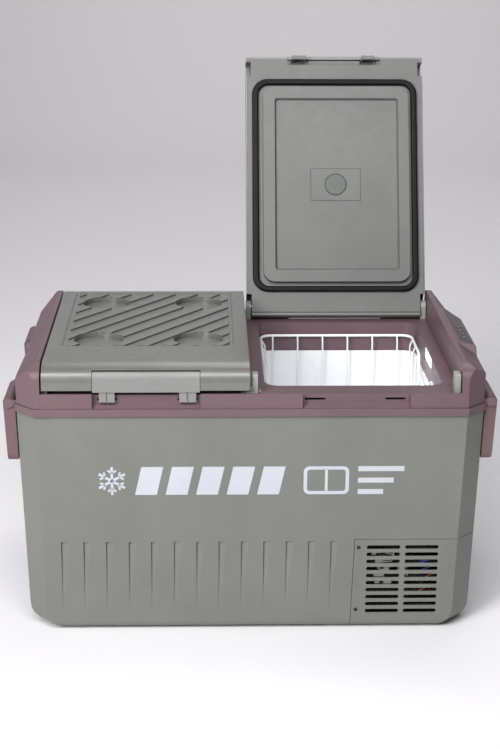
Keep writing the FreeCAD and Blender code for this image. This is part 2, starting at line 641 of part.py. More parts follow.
for a, b in ((20, -62), (44, -50)):
    comp = comp.fuse(Part.makeCylinder(4, 30, Vector(g("comp_x") + a, g("comp_y") + b + 12, base_z + 48), Vector(0, -1, 0)))
out("compressor", feature(solid(comp.cut(void))))
# condenser: finned pack behind the vent slots
fins = [block(186 + i * 5.0, 186.9 + i * 5.0, 37, 57, 20, 140) for i in range(23)]
tubes = []
for i in range(5):
    for yv in (42.0, 52.0):
        tubes.append(Part.makeCylinder(3.0, 128, Vector(178, yv, 29 + i * 25.5), Vector(1, 0, 0)))
cond = tubes[0].fuse(tubes[1:] + fins).fuse([block(180, 181.5, 37, 57, 20, 140), block(302, 303.5, 37, 57, 20, 140)])
out("condenser", feature(solid(cond)))
# fan behind the condenser: frame with four struts, hub and seven blades
fs = g("fan_size")
fx, fy, fz = 241.0, 60.0, 82.0
frame_f = cut(fuse(
    cut(box("241 - fan_size / 2", fy, "82 - fan_size / 2", "fan_size", 25, "fan_size"), cyl(fx, fy - 1, fz, "fan_size / 2 - 2.5", 30, "y")),
    cyl(fx, fy + 20, fz, 19, 4.9, "y"),
    box("241 - fan_size / 2 + 1", fy + 21, fz - 2.5, "fan_size - 2", 3.8, 5), box(fx - 2.5, fy + 21, "82 - fan_size / 2 + 1", 5, 3.8, "fan_size - 2")),
    *[cyl(fx + a, fy - 1, fz + b, 2.2, 30, "y") for a in (-41.2, 41.2) for b in (-41.2, 41.2)])
out("fan_frame", frame_f)
hubc = Part.makeCylinder(18, 17.5, Vector(fx, fy + 2, fz), Vector(0, 1, 0)).cut(Part.makeCylinder(15.5, 13, Vector(fx, fy + 4.5, fz), Vector(0, 1, 0)))
blades = []
for i in range(7):
    bl = Part.makeBox(26, 1.6, 19, Vector(0, -0.8, -9.5))
    bl.Placement = Placement(Vector(16.6, 0, 0), Rotation(Vector(1, 0, 0), 48))
    bl = Part.makeCompound([bl])
    bl.Placement = Placement(Vector(fx, fy + 10.5, fz), Rotation(Vector(0, 1, 0), i * 360.0 / 7))
    blades.append(bl.Solids[0])
rotor = hubc.fuse(blades).common(Part.makeCylinder(fs / 2 - 3.6, 25, Vector(fx, fy + 1.2, fz), Vector(0, 1, 0)))
out("fan_rotor", feature(solid(rotor)))
# compressor controller: finned aluminium case; power supply beside it
ctrl = cut(box(30, 60, tz, 70, 120, 46), *[box(34 + i * 8.5, 59, "%s + 30" % tz, 4.5, 122, 30) for i in range(8)])
out("compressor_controller", ctrl)
out("power_supply", cut(box(30, 220, tz, 78, 150, 52), box(31.2, 221.2, "%s + 1.2" % tz, 75.6, 147.6, 49.6)))
out("filter_drier", fuse(cyl(140, 120, 84, 10, 74, "y"), cone(140, 112, 84, 3, 10, 8, "y"), cone(140, 194, 84, 10, 3, 8, "y"), cyl(140, 100, 84, 3, 12.5, "y"), cyl(140, 201, 84, 3, 12, "y")))
# power inlets: one panel in the rear wall with a two-pin and a three-pin socket
yi = rear(60)
inlet = fuse(cut(box(pin_x - 45.5, yi - 3, 38.5, 71, 2.2, 43), box(pin_x - 36, yi - 10, 47, 20, 20, 26), box(pin_x - 8, yi - 10, 47, 26, 20, 26)),
             cut(box(pin_x - 38, yi - 22, 45, 24, 20, 30), box(pin_x - 36, yi - 20, 47, 20, 30, 26)),
             cut(box(pin_x - 10, yi - 22, 45, 30, 20, 30), box(pin_x - 8, yi - 20, 47, 26, 30, 26)))
out("power_inlets", inlet)
out("inlet_contacts", group(cyl(pin_x - 30, yi - 20, 60, 2, 14, "y"), cyl(pin_x - 22, yi - 20, 60, 2, 14, "y"),
                            cyl(pin_x - 1, yi - 20, 57, 1.5, 14, "y"), cyl(pin_x + 11, yi - 20, 57, 1.5, 14, "y"), cyl(pin_x + 5, yi - 20, 65, 1.5, 14, "y")))

# ---------------------------------------------------------------- hinge brackets
hy, hzz, pd = g("hinge_y"), g("hinge_z"), g("pin_d")


def bracket(x0, dx, front, head=None):
    """Hinge bracket: an upright block with a cross hole for the lid pin. Round head at
    the rear, where the lid turns round it, and a square head with soft edges in front."""
    yc = "25" if front else "hinge_y"
    if front:
        up = body_pad([("%s - bracket_half" % yc, "z_land"), ("%s + bracket_half" % yc, "z_land"), ("%s + bracket_half" % yc, "hinge_z + 10"), ("%s - bracket_half" % yc, "hinge_z + 10")],
                      "YZ_Plane", x0, dx, (lambda e: abs(e.BoundBox.ZMin - (g("hinge_z") + 10)) < 0.01 and e.BoundBox.XLength > 2, 3.5))
    else:
        up = fuse(box(x0, "%s - bracket_half" % yc, "z_land", dx, "2 * bracket_half", "hinge_z - z_land"), cyl(x0, yc, "hinge_z", "bracket_half", dx, "x"))
    return cut(up, cyl(x0 - 2, yc, "hinge_z", "pin_d / 2 + 0.06", dx + 4, "x"))


yf = 25.0
out("hinge_brackets_outer", group(bracket(-322.6, 9.2, False), bracket(313.4, 9.2, False), bracket(-322.6, 9.2, True), bracket(313.4, 9.2, True)))
slit_f, slit_r = box(-1.2, yf - 20, "z_land + 12", 2.4, 40, 48), box(-1.2, "hinge_y - 20", "z_land + 12", 2.4, 40, 48)
foot_l, foot_r = box(-15.5, yf - 6, "z_land", 5.8, 12, 2.0), box(9.7, yf - 6, "z_land", 5.8, 12, 2.0)
out("hinge_brackets_centre", group(cut(bracket(-9.8, 19.6, False), slit_r), fuse(cut(bracket(-9.8, 19.6, True), slit_f), foot_l, foot_r)))

# ---------------------------------------------------------------- handles
gap_lo, gap_hi = g("grip_top"), hz + 30
def handle():
    low = g("handle_low")
    prof = [(hx - hub, hz), (hx - 12.2, low + 3, 3), (hx - 11.8, low, 2.5), (hx + 4.6, low, 4), (hx + hub, hz)]
    plate = prism_y(prof, y_f, y_r)
    outline = prism_x([(y_f, low - 1, 16), (y_r, low - 1, 16), (y_r, hz + 20), (y_f, hz + 20)], 300, 420)
    plate = plate.common(outline)
    plate = plate.fuse(Part.makeCylinder(hub, y_r - y_f, Vector(hx, y_f, hz), Vector(0, 1, 0)))
    plate = plate.cut(prism_x([(y_f + aw, gap_lo, 12), (y_r - aw, gap_lo, 12), (y_r - aw, gap_hi), (y_f + aw, gap_hi)], 300, 420))
    for y0 in (y_f + aw - 30, y_r - aw - 1):
        plate = plate.cut(Part.makeCylinder(3.06, 31, Vector(hx, y0, hz), Vector(0, 1, 0)))
    return solid(plate)


h = handle()
out("handle_right", feature(h))
out("handle_left", feature(flip(h)))
for nm, s in (("handle_pins_left", -1), ("handle_pins_right", 1)):
    pins = [cyl(s * hx, y0, "handle_z", 2.98, 38, "y") for y0 in (y_f + aw - 26, y_r - aw - 12)]
    out(nm, group(*pins))

# ---------------------------------------------------------------- lids
li, lo, lf, zu, lwl = g("lid_in"), g("lid_out"), g("lid_front"), g("z_lid"), g("lid_wall")
tail = g("tail")
n_in, n_out = li + 9.0, lo - 9.0        # walls of the bracket notches
slant = math.radians(g("lid_open") - 90)


def lid_outline(inset, z_low):
    """Lid section (y, z): crowned front, flat top, round tail that clears the land."""
    t = tail - inset
    top = zr - inset
    a_end = hy + math.sqrt(max(t * t - (hzz - max(z_low, zu)) ** 2, 1.0))
    # tail: arc about the hinge axis, then a straight slope up to the top
    p1 = (hy + t * math.cos(slant), hzz + t * math.sin(slant))
    up = (top - p1[1]) / math.cos(slant)
    p2 = (p1[0] - up * math.sin(slant), top)
    return a_end, p1, p2, top


def lid_solid(x0, x1, inset, z_low):
    a_end, p1, p2, top = lid_outline(inset, z_low)
    y0 = lf + inset
    v = lambda y, z: Vector(x0, y, z)
    t = tail - inset
    # front part as a rounded polygon up to a point above the axis
    front = prism_x([(y0, z_low), (y0, top - 13.0 + inset * 0.4, 24.0 - inset), (y0 + 24.0 - inset * 0.4, top, 46.0), (hy - 5, top), (hy - 5, z_low)], x0, x1)
    # tail part
    zl_ = max(z_low, hzz - t + 0.01)
    ye = hy + math.sqrt(t * t - (hzz - zl_) ** 2)
    ang = math.atan2(zl_ - hzz, ye - hy)
    mid = (ang + slant) / 2
    e = [Part.LineSegment(v(hy - 6, z_low), v(ye, z_low)).toShape(),
         Part.Arc(v(ye, z_low), v(hy + t * math.cos(mid), hzz + t * math.sin(mid)), v(*p1)).toShape()]
    # round the top rear corner
    rr = 9.0
    b = Vector(p2[0], p2[1], 0); d1 = Vector(p1[0] - p2[0], p1[1] - p2[1], 0).normalize(); d2 = Vector(-1, 0, 0)
    half = math.acos(d1.dot(d2)) / 2
    tt = rr / math.tan(half)
    q1, q2 = b + d1 * tt, b + d2 * tt
    m = (d1 + d2).normalize()
    cc = b + m * (rr / math.sin(half)); qm = cc - m * rr
    e += [Part.LineSegment(v(*p1), v(q1.x, q1.y)).toShape(), Part.Arc(v(q1.x, q1.y), v(qm.x, qm.y), v(q2.x, q2.y)).toShape(),
          Part.LineSegment(v(q2.x, q2.y), v(hy - 6, top)).toShape(), Part.LineSegment(v(hy - 6, top), v(hy - 6, z_low)).toShape()]
    rear_part = Part.Face(Part.Wire(e)).extrude(Vector(x1 - x0, 0, 0))
    return solid(front.fuse(rear_part))


def notch(x0, x1, extra):
    """Room for a bracket: x range, rear (open at the tail) and front."""
    e = extra
    rear_n = Part.makeCylinder(24.6 + e, x1 - x0, Vector(x0, hy, hzz), Vector(1, 0, 0)).fuse(block(x0, x1, hy - 18 - e, hy + 10, zu - 5, hzz + 12))
    rear_n = rear_n.fuse(block(x0, x1, hy - 2, hy + 40, zu - 5, hzz + 8))
    front_n = block(x0, x1, yf - 12.5 - e, yf + 12.5 + e, zu - 5, 434 + e)
    return rear_n, front_n


lat0, lat1 = g("latch_in"), g("latch_in") + g("latch_w")
tongue_x = ((85.0, 111.0), (209.7, 233.7))


def lid_cover(right):
    o = lid_solid(li, lo, 0.0, zu + 1.3)
    i_ = lid_solid(li + 2.4, lo - 2.4, lwl, zu - 1)
    # recessed field with ribs and four cup rings; recess 1.2 deep, floor stays closed
    field = Part.makeLoft([poly(rrect(27.5, 296.5, 118.5, 445.5, 4), lambda q: Vector(q.x, q.y, zr - 2.6)), poly(rrect(23.5, 300.5, 114.5, 449.5, 7), lambda q: Vector(q.x, q.y, zr + 0.6))], True, True)
    cups = []
    for cx in (82.0, 242.0):
        for cy in (161.0, 386.0):
            cups.append((cx, cy))
    extra = Part.makeCompound([Part.makeCylinder(43.0, 10.4, Vector(cx, cy, zr - 12.2)) for cx, cy in cups])
    c = o.cut(i_)
    for cx, cy in cups:
        c = c.fuse(Part.makeCylinder(43.0, 10.4, Vector(cx, cy, zr - 12.2)))
    c = c.cut(field)
    # diagonal ribs: sloping planks rising to a sharp edge
    ribs = []
    step = 39.3
    ca = math.radians(54)
    for j in range(-9, 9):
        x_at = 202.5 + j * step      # crossing of the rib with y = 117
        L = 620
        # cross section across the rib: saw tooth 0 to 1.1 mm high, 24 mm wide
        w = 25.0
        tri = Part.Face(Part.makePolygon([Vector(0, 0, 0), Vector(w, 0, 0), Vector(0, 0, 2.4), Vector(0, 0, 0)])).extrude(Vector(0, L, 0))
        tri.Placement = Placement(Vector(x_at, 117, zr - 2.65), Rotation(Vector(0, 0, 1), 36))
        ribs.append(tri)
    pad_zone = prism_z([(32, 120), (291, 120), (291, 442), (32, 442)], zr - 3.2, zr + 1)
    rb = Part.makeCompound(ribs).common(pad_zone)
    for s in rb.Solids:
        if s.Volume > 20:
            c = c.fuse(s)
    for cx, cy in cups:
        c = c.cut(Part.makeCylinder(40.0, 30, Vector(cx, cy, zr - 9.4)))
        c = c.cut(block(cx - 7, cx + 7, cy + 36, cy + 42.2, zr - 4.6, zr + 1))
    # latch bay in the front
    c = c.cut(block(lat0 - 0.7, lat1 + 0.7, -5, 14.0, zu - 3, 437.4)).cut(block(lat0 - 0.7, lat1 + 0.7, -5, 20.5, 418, 437.4))
    for s in notch(-5, n_in, 0.0) + notch(n_out, lo + 5, 0.0):
        c = c.cut(s)
    return c


def lid_inner():
    p = block(li + 2.6, lo - 2.6, lf + 3.0, hy + 30, zu, zu + 2.6)
    p = p.common(lid_solid(li + 2.6, lo - 2.6, lwl + 0.2, zu))
    # plug that enters the opening, with a recessed centre
    pl = prism_z(rrect(33.4, 293.9, 59.7, 412, 20), 394.5, zu + 2.6)
    p = p.fuse(pl)
    p = p.cut(prism_z(rrect(36.4, 290.9, 62.7, 409, 17), 405.0, zu + 3))
    rec_o = Part.makeLoft([poly(rrect(53.9, 275.5, 81, 391, 5), lambda q: Vector(q.x, q.y, 394.4)), poly(rrect(56.6, 272.8, 83.7, 388.3, 3.6), lambda q: Vector(q.x, q.y, 401.5))], True, True)
    p = p.cut(rec_o)
    # seat for the centre plate
    p = p.cut(block(117.9, 207.4, 207.4, 265.7, 401, 402.7))
    # walls round the bracket notches
    box_l = block(li + 2.6, n_in + 2.5, hy - 20.4, hy + 12, zu, hzz + 22).fuse(block(li + 2.6, n_in + 2.5, yf - 14.9, yf + 14.9, zu, 436.4))
    box_r = block(n_out - 2.5, lo - 2.6, hy - 20.4, hy + 12, zu, hzz + 22).fuse(block(n_out - 2.5, lo - 2.6, yf - 14.9, yf + 14.9, zu, 436.4))
    # bosses that hold the hinge pins
    boss_l = block(n_in, n_in + 16, hy - 9, hy + 9, zu, hzz + 9)
    boss_r = block(n_out - 16, n_out, hy - 9, hy + 9, zu, hzz + 9)
    env = lid_solid(li + 2.6, lo - 2.6, lwl + 0.2, zu)
    # latch bay lining
    shelf = block(lat0 - 3.2, lat1 + 3.2, 9.4, 20.4, zu, zu + 5.6)
    lining = block(lat0 - 3.2, lat1 + 3.2, 9.4, 11.6, zu + 3, 418.2).fuse([
        block(lat0 - 3.2, lat1 + 3.2, 20.8, 23.3, 416, 436), block(lat0 - 3.2, lat1 + 3.2, 9.4, 23.3, 414.4, 417.2), shelf])
    lining = lining.fuse([block(a - 3.6, b + 6.6, 9.4, 19.4, zu, 416) for a, b in tongue_x])
    p = p.fuse([box_l.common(env), box_r.common(env), boss_l.common(env), boss_r.common(env), lining.common(env)])
    p = p.cut([block(lat0 - 0.7, lat1 + 0.7, -5, 9.1, zu - 3, 437.4), block(lat0 - 0.7, lat1 + 0.7, -5, 20.5, 417.6, 437.4), block(lat0 - 0.7, lat1 + 0.7, 5, 17.6, zu - 3, zu + 2.8)])
    p = p.cut([block(a - 1.4, b + 4.4, 5, 16.8, zu - 3, 413.8) for a, b in tongue_x])
    for s in notch(-5, n_in, 0.0) + notch(n_out, lo + 5, 0.0):
        p = p.cut(s)
    for x0 in (n_in - 1, n_out - 17):
        p = p.cut(Part.makeCylinder(pd / 2, 18, Vector(x0, hy, hzz), Vector(1, 0, 0)))
    return p


cover_r = lid_cover(True)
for x0 in (lat0 - 7, lat1 - 3):
    cover_r = cover_r.fuse(block(x0, x0 + 6.0 if x0 < 100 else x0 + 10.0, 6.0, 16.5, 424.5, 433.5).common(lid_solid(li, lo, 0.0, zu + 1.3)).cut(block(lat0 - 0.7, lat1 + 0.7, -5, 30, 400, 440)))
for x0 in (lat0 - 7, lat1 - 1):
    cover_r = cover_r.cut(Part.makeCylinder(1.5, 8, Vector(x0, g("latch_y"), g("latch_z")), Vector(1, 0, 0)))
cover_r = solid(cover_r)
inner_r = solid(lid_inner())
out("right_lid_cover", feature(cover_r), opened)
out("left_lid_cover", feature(flip(cover_r)))
out("right_lid_liner", feature(inner_r), opened)
out("left_lid_liner", feature(flip(inner_r)))

# insulation inside the lid
def lid_foam():
    return cut(box(26, 40, "z_lid + 2.9", 274, 378, "z_top - lid_wall - z_lid - 13.3"), box("latch_in - 5", 0, 400, "latch_w + 10", 44, 40))


out("right_lid_foam", group(lid_foam()), opened)
out("left_lid_foam", mirror(lid_foam()))

# seal: rounded strip bent round the plug
def seal():
    o = prism_z(rrect(13.9, 309.6, 44.6, 429, 28), zp + 0.4, zu)
    i_ = prism_z(rrect(25.4, 299.0, 55.2, 419.2, 18), zp - 1, zu + 1)
    s = o.cut(i_)
    low = [e for e in s.Edges if abs(e.BoundBox.ZMin - (zp + 0.4)) < 0.01 and abs(e.BoundBox.ZMax - (zp + 0.4)) < 0.01]
    return s.makeFillet(3.2, low)


sl = seal()
out("right_lid_seal", feature(sl), opened)
out("left_lid_seal", feature(flip(sl)))

# small plate with a plain round boss in the middle of the lid's underside
def lid_plate():
    ring = cut(cyl("plate_x + plate_w / 2", 236.5, 400.75, 19.6, 0.5), cyl("plate_x + plate_w / 2", 236.5, 400, 18.6, 2))
    return fuse(cut(box("plate_x", 207.6, 401.0, "plate_w", 57.9, 1.5), ring), cyl("plate_x + plate_w / 2", 236.5, 400.4, 18.0, 1.0))


out("right_lid_plate", group(lid_plate()), opened)
out("left_lid_plate", mirror(lid_plate()))


# hinge pins, fixed in the lid and turning in the brackets
def pins():
    return group(cyl("lid_in + 0.4", "hinge_y", "hinge_z", "pin_d / 2", 23.6, "x"), cyl("lid_out - 24", "hinge_y", "hinge_z", "pin_d / 2", 23.6, "x"))


out("right_lid_pins", pins(), opened)
out("left_lid_pins", mirror(pins()))


# latch: curved flap with two hooked tongues, turning on a cross pin at its top
def latch():
    ly, lz = g("latch_y"), g("latch_z")
    full = lid_solid(lat0, lat1, 0.0, zu - 1.4)
    inn = lid_solid(lat0 - 1, lat1 + 1, 3.6, zu - 5)
    flap = full.cut(inn).common(block(lat0, lat1, -5, 16.0, 400, 435.2))
    barrel = Part.makeCylinder(3.4, lat1 - lat0, Vector(lat0, ly, lz), Vector(1, 0, 0))
    web = block(lat0, lat1, 4.0, ly, lz - 2.2, lz + 1.2)
    f = flap.fuse([barrel, web.common(full)])
    f = f.fuse(block(lat0, lat1, 3.0, 8.3, zu - 1.4, zu + 1.4).common(full))
    for a, b in tongue_x:
        tng = prism_x([(5.0, 411), (5.0, 388.4), (6.2, 387.0), (11.4, 388.8), (11.4, 411)], a, b)
        m = (a + b) / 2
        tng = tng.cut([block(m - 1.1, m + 1.1, 0, 6.3, 380, 403.6), block(a + 3, b - 3, 8.0, 20, 391.6, 420)])
        f = f.fuse([tng, block(a, b, 3.0, 8.0, zu - 1.4, 411)])
    return f.cut(Part.makeCylinder(1.56, lat1 - lat0 + 4, Vector(lat0 - 2, ly, lz), Vector(1, 0, 0)))


lt = solid(latch())
out("right_latch", feature(lt), opened)
out("left_latch", feature(flip(lt)))


def latch_pin():
    return cyl("latch_in - 5.5", "latch_y", "latch_z", 1.48, "latch_w + 11", "x")


out("right_latch_pin", group(latch_pin()), opened)
out("left_latch_pin", mirror(latch_pin()))

# ---------------------------------------------------------------- pipes and wiring in the bay
def tube_path(pts, r):
    """Straight runs joined by arcs of radius r at every inner corner."""
    P = [Vector(*p) for p in pts]
    edges, at = [], P[0]
    for i in range(1, len(P) - 1):
        a, b, c = P[i - 1], P[i], P[i + 1]
        d1, d2 = (a - b).normalize(), (c - b).normalize()
        half = math.acos(max(-1, min(1, d1.dot(d2)))) / 2
        t = r / math.tan(half)
        bis = (d1 + d2).normalize()
        mid = b + bis * (r / math.sin(half) - r)
        p, q = b + d1 * t, b + d2 * t
        edges += [Part.LineSegment(at, p).toShape(), Part.Arc(p, mid, q).toShape()]
        at = q
    edges.append(Part.LineSegment(at, P[-1]).toShape())
    return Part.Wire(edges), (P[1] - P[0]).normalize()


def tube(pts, bend, r):
    path, d = tube_path(pts, bend)
    ring = Part.Wire(Part.Circle(Vector(*pts[0]), d, r).toShape())
    t = path.makePipeShell([ring], True, True)
    if abs(t.Volume - math.pi * r * r * path.Length) > 0.02 * t.Volume:
        raise SystemExit("pipe volume is off")
    return t


cx_, cy_ = g("comp_x"), g("comp_y")
stub_z = base_z + 48
pipes = [
    tube([(cx_ + 20, cy_ - 80, stub_z), (cx_ + 20, 200, stub_z), (318, 200, stub_z), (318, 42, stub_z), (318, 42, 80), (306, 42, 80)], 5.5, 3.0),
    tube([(178, 42, 80), (158, 42, 80), (140, 62, 84), (140, 100, 84)], 9, 2.6),
    tube([(140, 213, 84), (140, 236, 84), (140, 236, bz - 0.1)], 9, 2.2),
    tube([(cx_ + 44, cy_ - 68, stub_z), (cx_ + 44, 226, stub_z), (172, 226, stub_z), (172, 226, bz - 0.1)], 9, 3.6),
]
out("refrigerant_pipes", feature(Part.makeCompound(pipes)))
yw = 27.0
plug_a = block(122, 134, 21, 33, 44, 74)
plug_b = block(308, 318, 20.5, 33, 96, 122)
plug_c = block(204, 216, 22, 32.5, 76, 130)
loom = [plug_a, plug_b, plug_c,
        tube([(134, yw, 68), (152, yw, 68), (152, yw, 116), (204, yw, 116)], 8, 1.3),
        tube([(216, yw, 116), (262, yw - 2, 121), (285, yw, 114), (308, yw, 116)], 20, 1.3),
        tube([(134, yw, 60), (240, yw, 56), (262, yw - 2, 88), (286, yw, 92), (308, yw, 101)], 12, 1.3),
        tube([(134, yw + 1, 50), (236, yw + 1, 46), (264, yw - 2, 66), (280, yw - 2, 80), (282, yw + 1, 104), (308, yw + 1, 108)], 8, 1.2)]
out("wiring_loom", feature(Part.makeCompound(loom)))

# ---------------------------------------------------------------- check and write
doc.recompute()
bad = [o.Name for o in doc.Objects if "Invalid" in o.State or "Error" in o.State]
if bad:
    raise SystemExit("failed objects: %s" % bad)
box_all = FreeCAD.BoundBox()
for name, o in OUT.items():
    s = o.Shape
    if s.isNull() or not s.isValid() or not s.Solids:
        raise SystemExit("bad shape: %s (null %s, valid %s, solids %d)" % (name, s.isNull(), (not s.isNull()) and s.isValid(), len(s.Solids)))
    for sol in s.Solids:
        if sol.Volume <= 0:
            raise SystemExit("negative volume: %s" % name)
    box_all.add(s.BoundBox)
    s.exportStep("parts/%s.step" % name)
    print("%-28s solids %d volume %.0f" % (name, len(s.Solids), s.Volume))
print("nodes", len(OUT), "box", box_all)
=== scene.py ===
# Looks of the two-zone compressor cooler fridge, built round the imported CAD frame. Metres, +Z up.
import bpy, bmesh, math
from mathutils import Matrix, Vector


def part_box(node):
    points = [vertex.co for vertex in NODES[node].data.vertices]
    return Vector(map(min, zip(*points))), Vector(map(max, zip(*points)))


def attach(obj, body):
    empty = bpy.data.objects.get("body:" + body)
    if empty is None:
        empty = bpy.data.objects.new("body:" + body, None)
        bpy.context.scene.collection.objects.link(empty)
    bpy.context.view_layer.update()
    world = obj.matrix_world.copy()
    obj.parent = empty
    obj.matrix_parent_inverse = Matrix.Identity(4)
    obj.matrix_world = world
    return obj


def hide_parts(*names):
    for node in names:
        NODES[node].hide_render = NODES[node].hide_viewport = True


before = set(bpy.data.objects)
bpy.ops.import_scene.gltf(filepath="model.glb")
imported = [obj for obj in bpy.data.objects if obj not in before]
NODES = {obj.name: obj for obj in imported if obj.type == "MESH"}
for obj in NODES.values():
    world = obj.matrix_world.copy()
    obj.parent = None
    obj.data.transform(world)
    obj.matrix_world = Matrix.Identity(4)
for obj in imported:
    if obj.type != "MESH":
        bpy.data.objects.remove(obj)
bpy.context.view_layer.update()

SC = bpy.context.scene
OY = 0.3183          # the front trim band is this far in front of the origin
OPEN = math.radians(111.8)
HINGE = Vector((0.0, 0.454 - OY, 0.419))
HY = HINGE.y


# ------------------------------------------------------------------ node helpers
class Net:
    """A short way to write a material's nodes."""

    def __init__(self, name):
        self.m = bpy.data.materials.new(name)
        self.m.use_nodes = True
        self.t = self.m.node_tree
        self.t.nodes.clear()
        self.out = self.n("ShaderNodeOutputMaterial")
        self.b = self.n("ShaderNodeBsdfPrincipled")
        self.l(self.b.outputs[0], self.out.inputs[0])
        self.co = self.n("ShaderNodeTexCoord").outputs["Object"]

    def n(self, kind, **kw):
        nd = self.t.nodes.new(kind)
        for k, v in kw.items():
            setattr(nd, k, v)
        return nd

    def l(self, a, b):
        self.t.links.new(a, b)

    def put(self, sock, v):
        if hasattr(v, "is_output") or isinstance(v, bpy.types.NodeSocket):
            self.l(v, sock)
        else:
            sock.default_value = v

    def noise(self, scale, detail=3.0, rough=0.55, co=None, dist=0.0):
        nd = self.n("ShaderNodeTexNoise")
        self.l(co or self.co, nd.inputs["Vector"])
        nd.inputs["Scale"].default_value = scale
        nd.inputs["Detail"].default_value = detail
        nd.inputs["Roughness"].default_value = rough
        nd.inputs["Distortion"].default_value = dist
        return nd.outputs["Fac"]

    def voronoi(self, scale, feature="F1", co=None, out="Distance"):
        nd = self.n("ShaderNodeTexVoronoi", feature=feature)
        self.l(co or self.co, nd.inputs["Vector"])
        nd.inputs["Scale"].default_value = scale
        return nd.outputs[out]

    def stretch(self, s, co=None):
        nd = self.n("ShaderNodeMapping")
        self.l(co or self.co, nd.inputs["Vector"])
        nd.inputs["Scale"].default_value = s
        return nd.outputs[0]

    def ramp(self, fac, stops):
        nd = self.n("ShaderNodeValToRGB")
        self.l(fac, nd.inputs[0])
        e = nd.color_ramp.elements
        while len(e) < len(stops):
            e.new(0.5)
        for el, (p, c) in zip(e, stops):
            el.position = p
            el.color = (c, c, c, 1) if isinstance(c, (int, float)) else (*c, 1)
        return nd.outputs[0]

    def span(self, v, a, b, lo=0.0, hi=1.0):
        nd = self.n("ShaderNodeMapRange")
        self.l(v, nd.inputs["Value"])
        for k, x in (("From Min", a), ("From Max", b), ("To Min", lo), ("To Max", hi)):
            nd.inputs[k].default_value = x
        return nd.outputs[0]

    def math(self, op, a, b=0.0):
        nd = self.n("ShaderNodeMath", operation=op)
        self.put(nd.inputs[0], a)
        self.put(nd.inputs[1], b)
        return nd.outputs[0]

    def mix(self, fac, a, b, blend="MIX"):
        nd = self.n("ShaderNodeMix", data_type="RGBA", blend_type=blend)
        self.put(nd.inputs[0], fac)
        for s, v in ((nd.inputs[6], a), (nd.inputs[7], b)):
            self.put(s, v if hasattr(v, "node") else (*v, 1))
        return nd.outputs[2]

    def bump(self, height, strength, distance, under=None):
        nd = self.n("ShaderNodeBump")
        nd.inputs["Strength"].default_value = strength
        nd.inputs["Distance"].default_value = distance
        self.l(height, nd.inputs["Height"])
        if under is not None:
            self.l(under, nd.inputs["Normal"])
        return nd.outputs[0]

    def soft_edge(self, radius):
        """Normal that rounds sharp edges, and a mask that is 1 on them."""
        bv = self.n("ShaderNodeBevel")
        bv.samples = 4
        bv.inputs["Radius"].default_value = radius
        geo = self.n("ShaderNodeNewGeometry")
        dt = self.n("ShaderNodeVectorMath", operation="DOT_PRODUCT")
        self.l(bv.outputs[0], dt.inputs[0])
        self.l(geo.outputs["True Normal"], dt.inputs[1])
        return bv.outputs[0], self.span(dt.outputs["Value"], 0.995, 0.80)


def lin(c):
    """sRGB 0..255 to linear."""
    return tuple((v / 255 / 12.92) if v / 255 <= 0.04045 else ((v / 255 + 0.055) / 1.055) ** 2.4 for v in c)


def moulded(name, rgb, rough=0.55, grain=1500.0, depth=0.00010, strength=0.35, tone=0.05, spec=0.5, edge=0.0006, wear_and_edge_highlight=0.10, coat=0.0):
    """Spark-eroded moulded plastic: fine grain, faint flow marks, dust, edges lightened partly as wear and partly as
    painted highlight, and painted shade in joints and slots.
    """
    w = Net(name)
    c = lin(rgb)
    fine = w.noise(grain, 2.0, 0.6)
    cells = w.voronoi(grain * 0.55)
    cloud = w.noise(9.0, 4.0, 0.6, dist=0.4)
    patch = w.noise(55.0, 5.0, 0.65)
    nrm, mask = w.soft_edge(edge)
    dark = tuple(v * (1 - tone) for v in c)
    light = tuple(min(1, v * (1 + tone)) for v in c)
    col = w.mix(w.span(cloud, 0.35, 0.65), dark, light)
    col = w.mix(w.math("MULTIPLY", w.span(patch, 0.52, 0.72), 0.10), col, tuple(min(1, v * 1.25 + 0.01) for v in c))
    speck = w.span(fine, 0.3, 0.7, 0.0, 1.0)
    col = w.mix(w.math("MULTIPLY", speck, 0.07), col, tuple(v * 0.75 for v in c))
    # edges lightened through the bevel mask in random patches: partly rubbed wear, partly a painted highlight where the
    # edges catch the light
    if wear_and_edge_highlight > 0:
        worn_and_highlit_edges = w.math("MULTIPLY", mask, w.span(patch, 0.40, 0.60, wear_and_edge_highlight * 0.35, wear_and_edge_highlight * 1.6))
        col = w.mix(worn_and_highlit_edges, col, tuple(min(1, v * 1.7 + 0.02) for v in c))
    # painted shade: ambient occlusion darkens the colour in joints, steps and slots, where shade falls
    ao = w.n("ShaderNodeAmbientOcclusion")
    ao.samples = 6
    ao.inputs["Distance"].default_value = 0.0035
    col = w.mix(w.span(ao.outputs["AO"], 0.80, 0.30, 0.0, 0.72), col, tuple(v * 0.16 for v in c))
    w.l(col, w.b.inputs["Base Color"])
    w.l(w.math("ADD", w.span(patch, 0.3, 0.7, rough - 0.05, rough + 0.05), w.span(fine, 0.35, 0.65, -0.03, 0.03)), w.b.inputs["Roughness"])
    w.b.inputs["Specular IOR Level"].default_value = spec
    if coat:
        w.b.inputs["Coat Weight"].default_value = coat
        w.b.inputs["Coat Roughness"].default_value = 0.15
    h = w.mix(0.5, w.math("MULTIPLY", fine, 1.0), cells)
    n1 = w.bump(h, strength, depth, nrm)
    n2 = w.bump(cloud, 0.25, 0.0006, n1)      # faint sink and flow of a large moulding
    w.l(n2, w.b.inputs["Normal"])
    return w.m


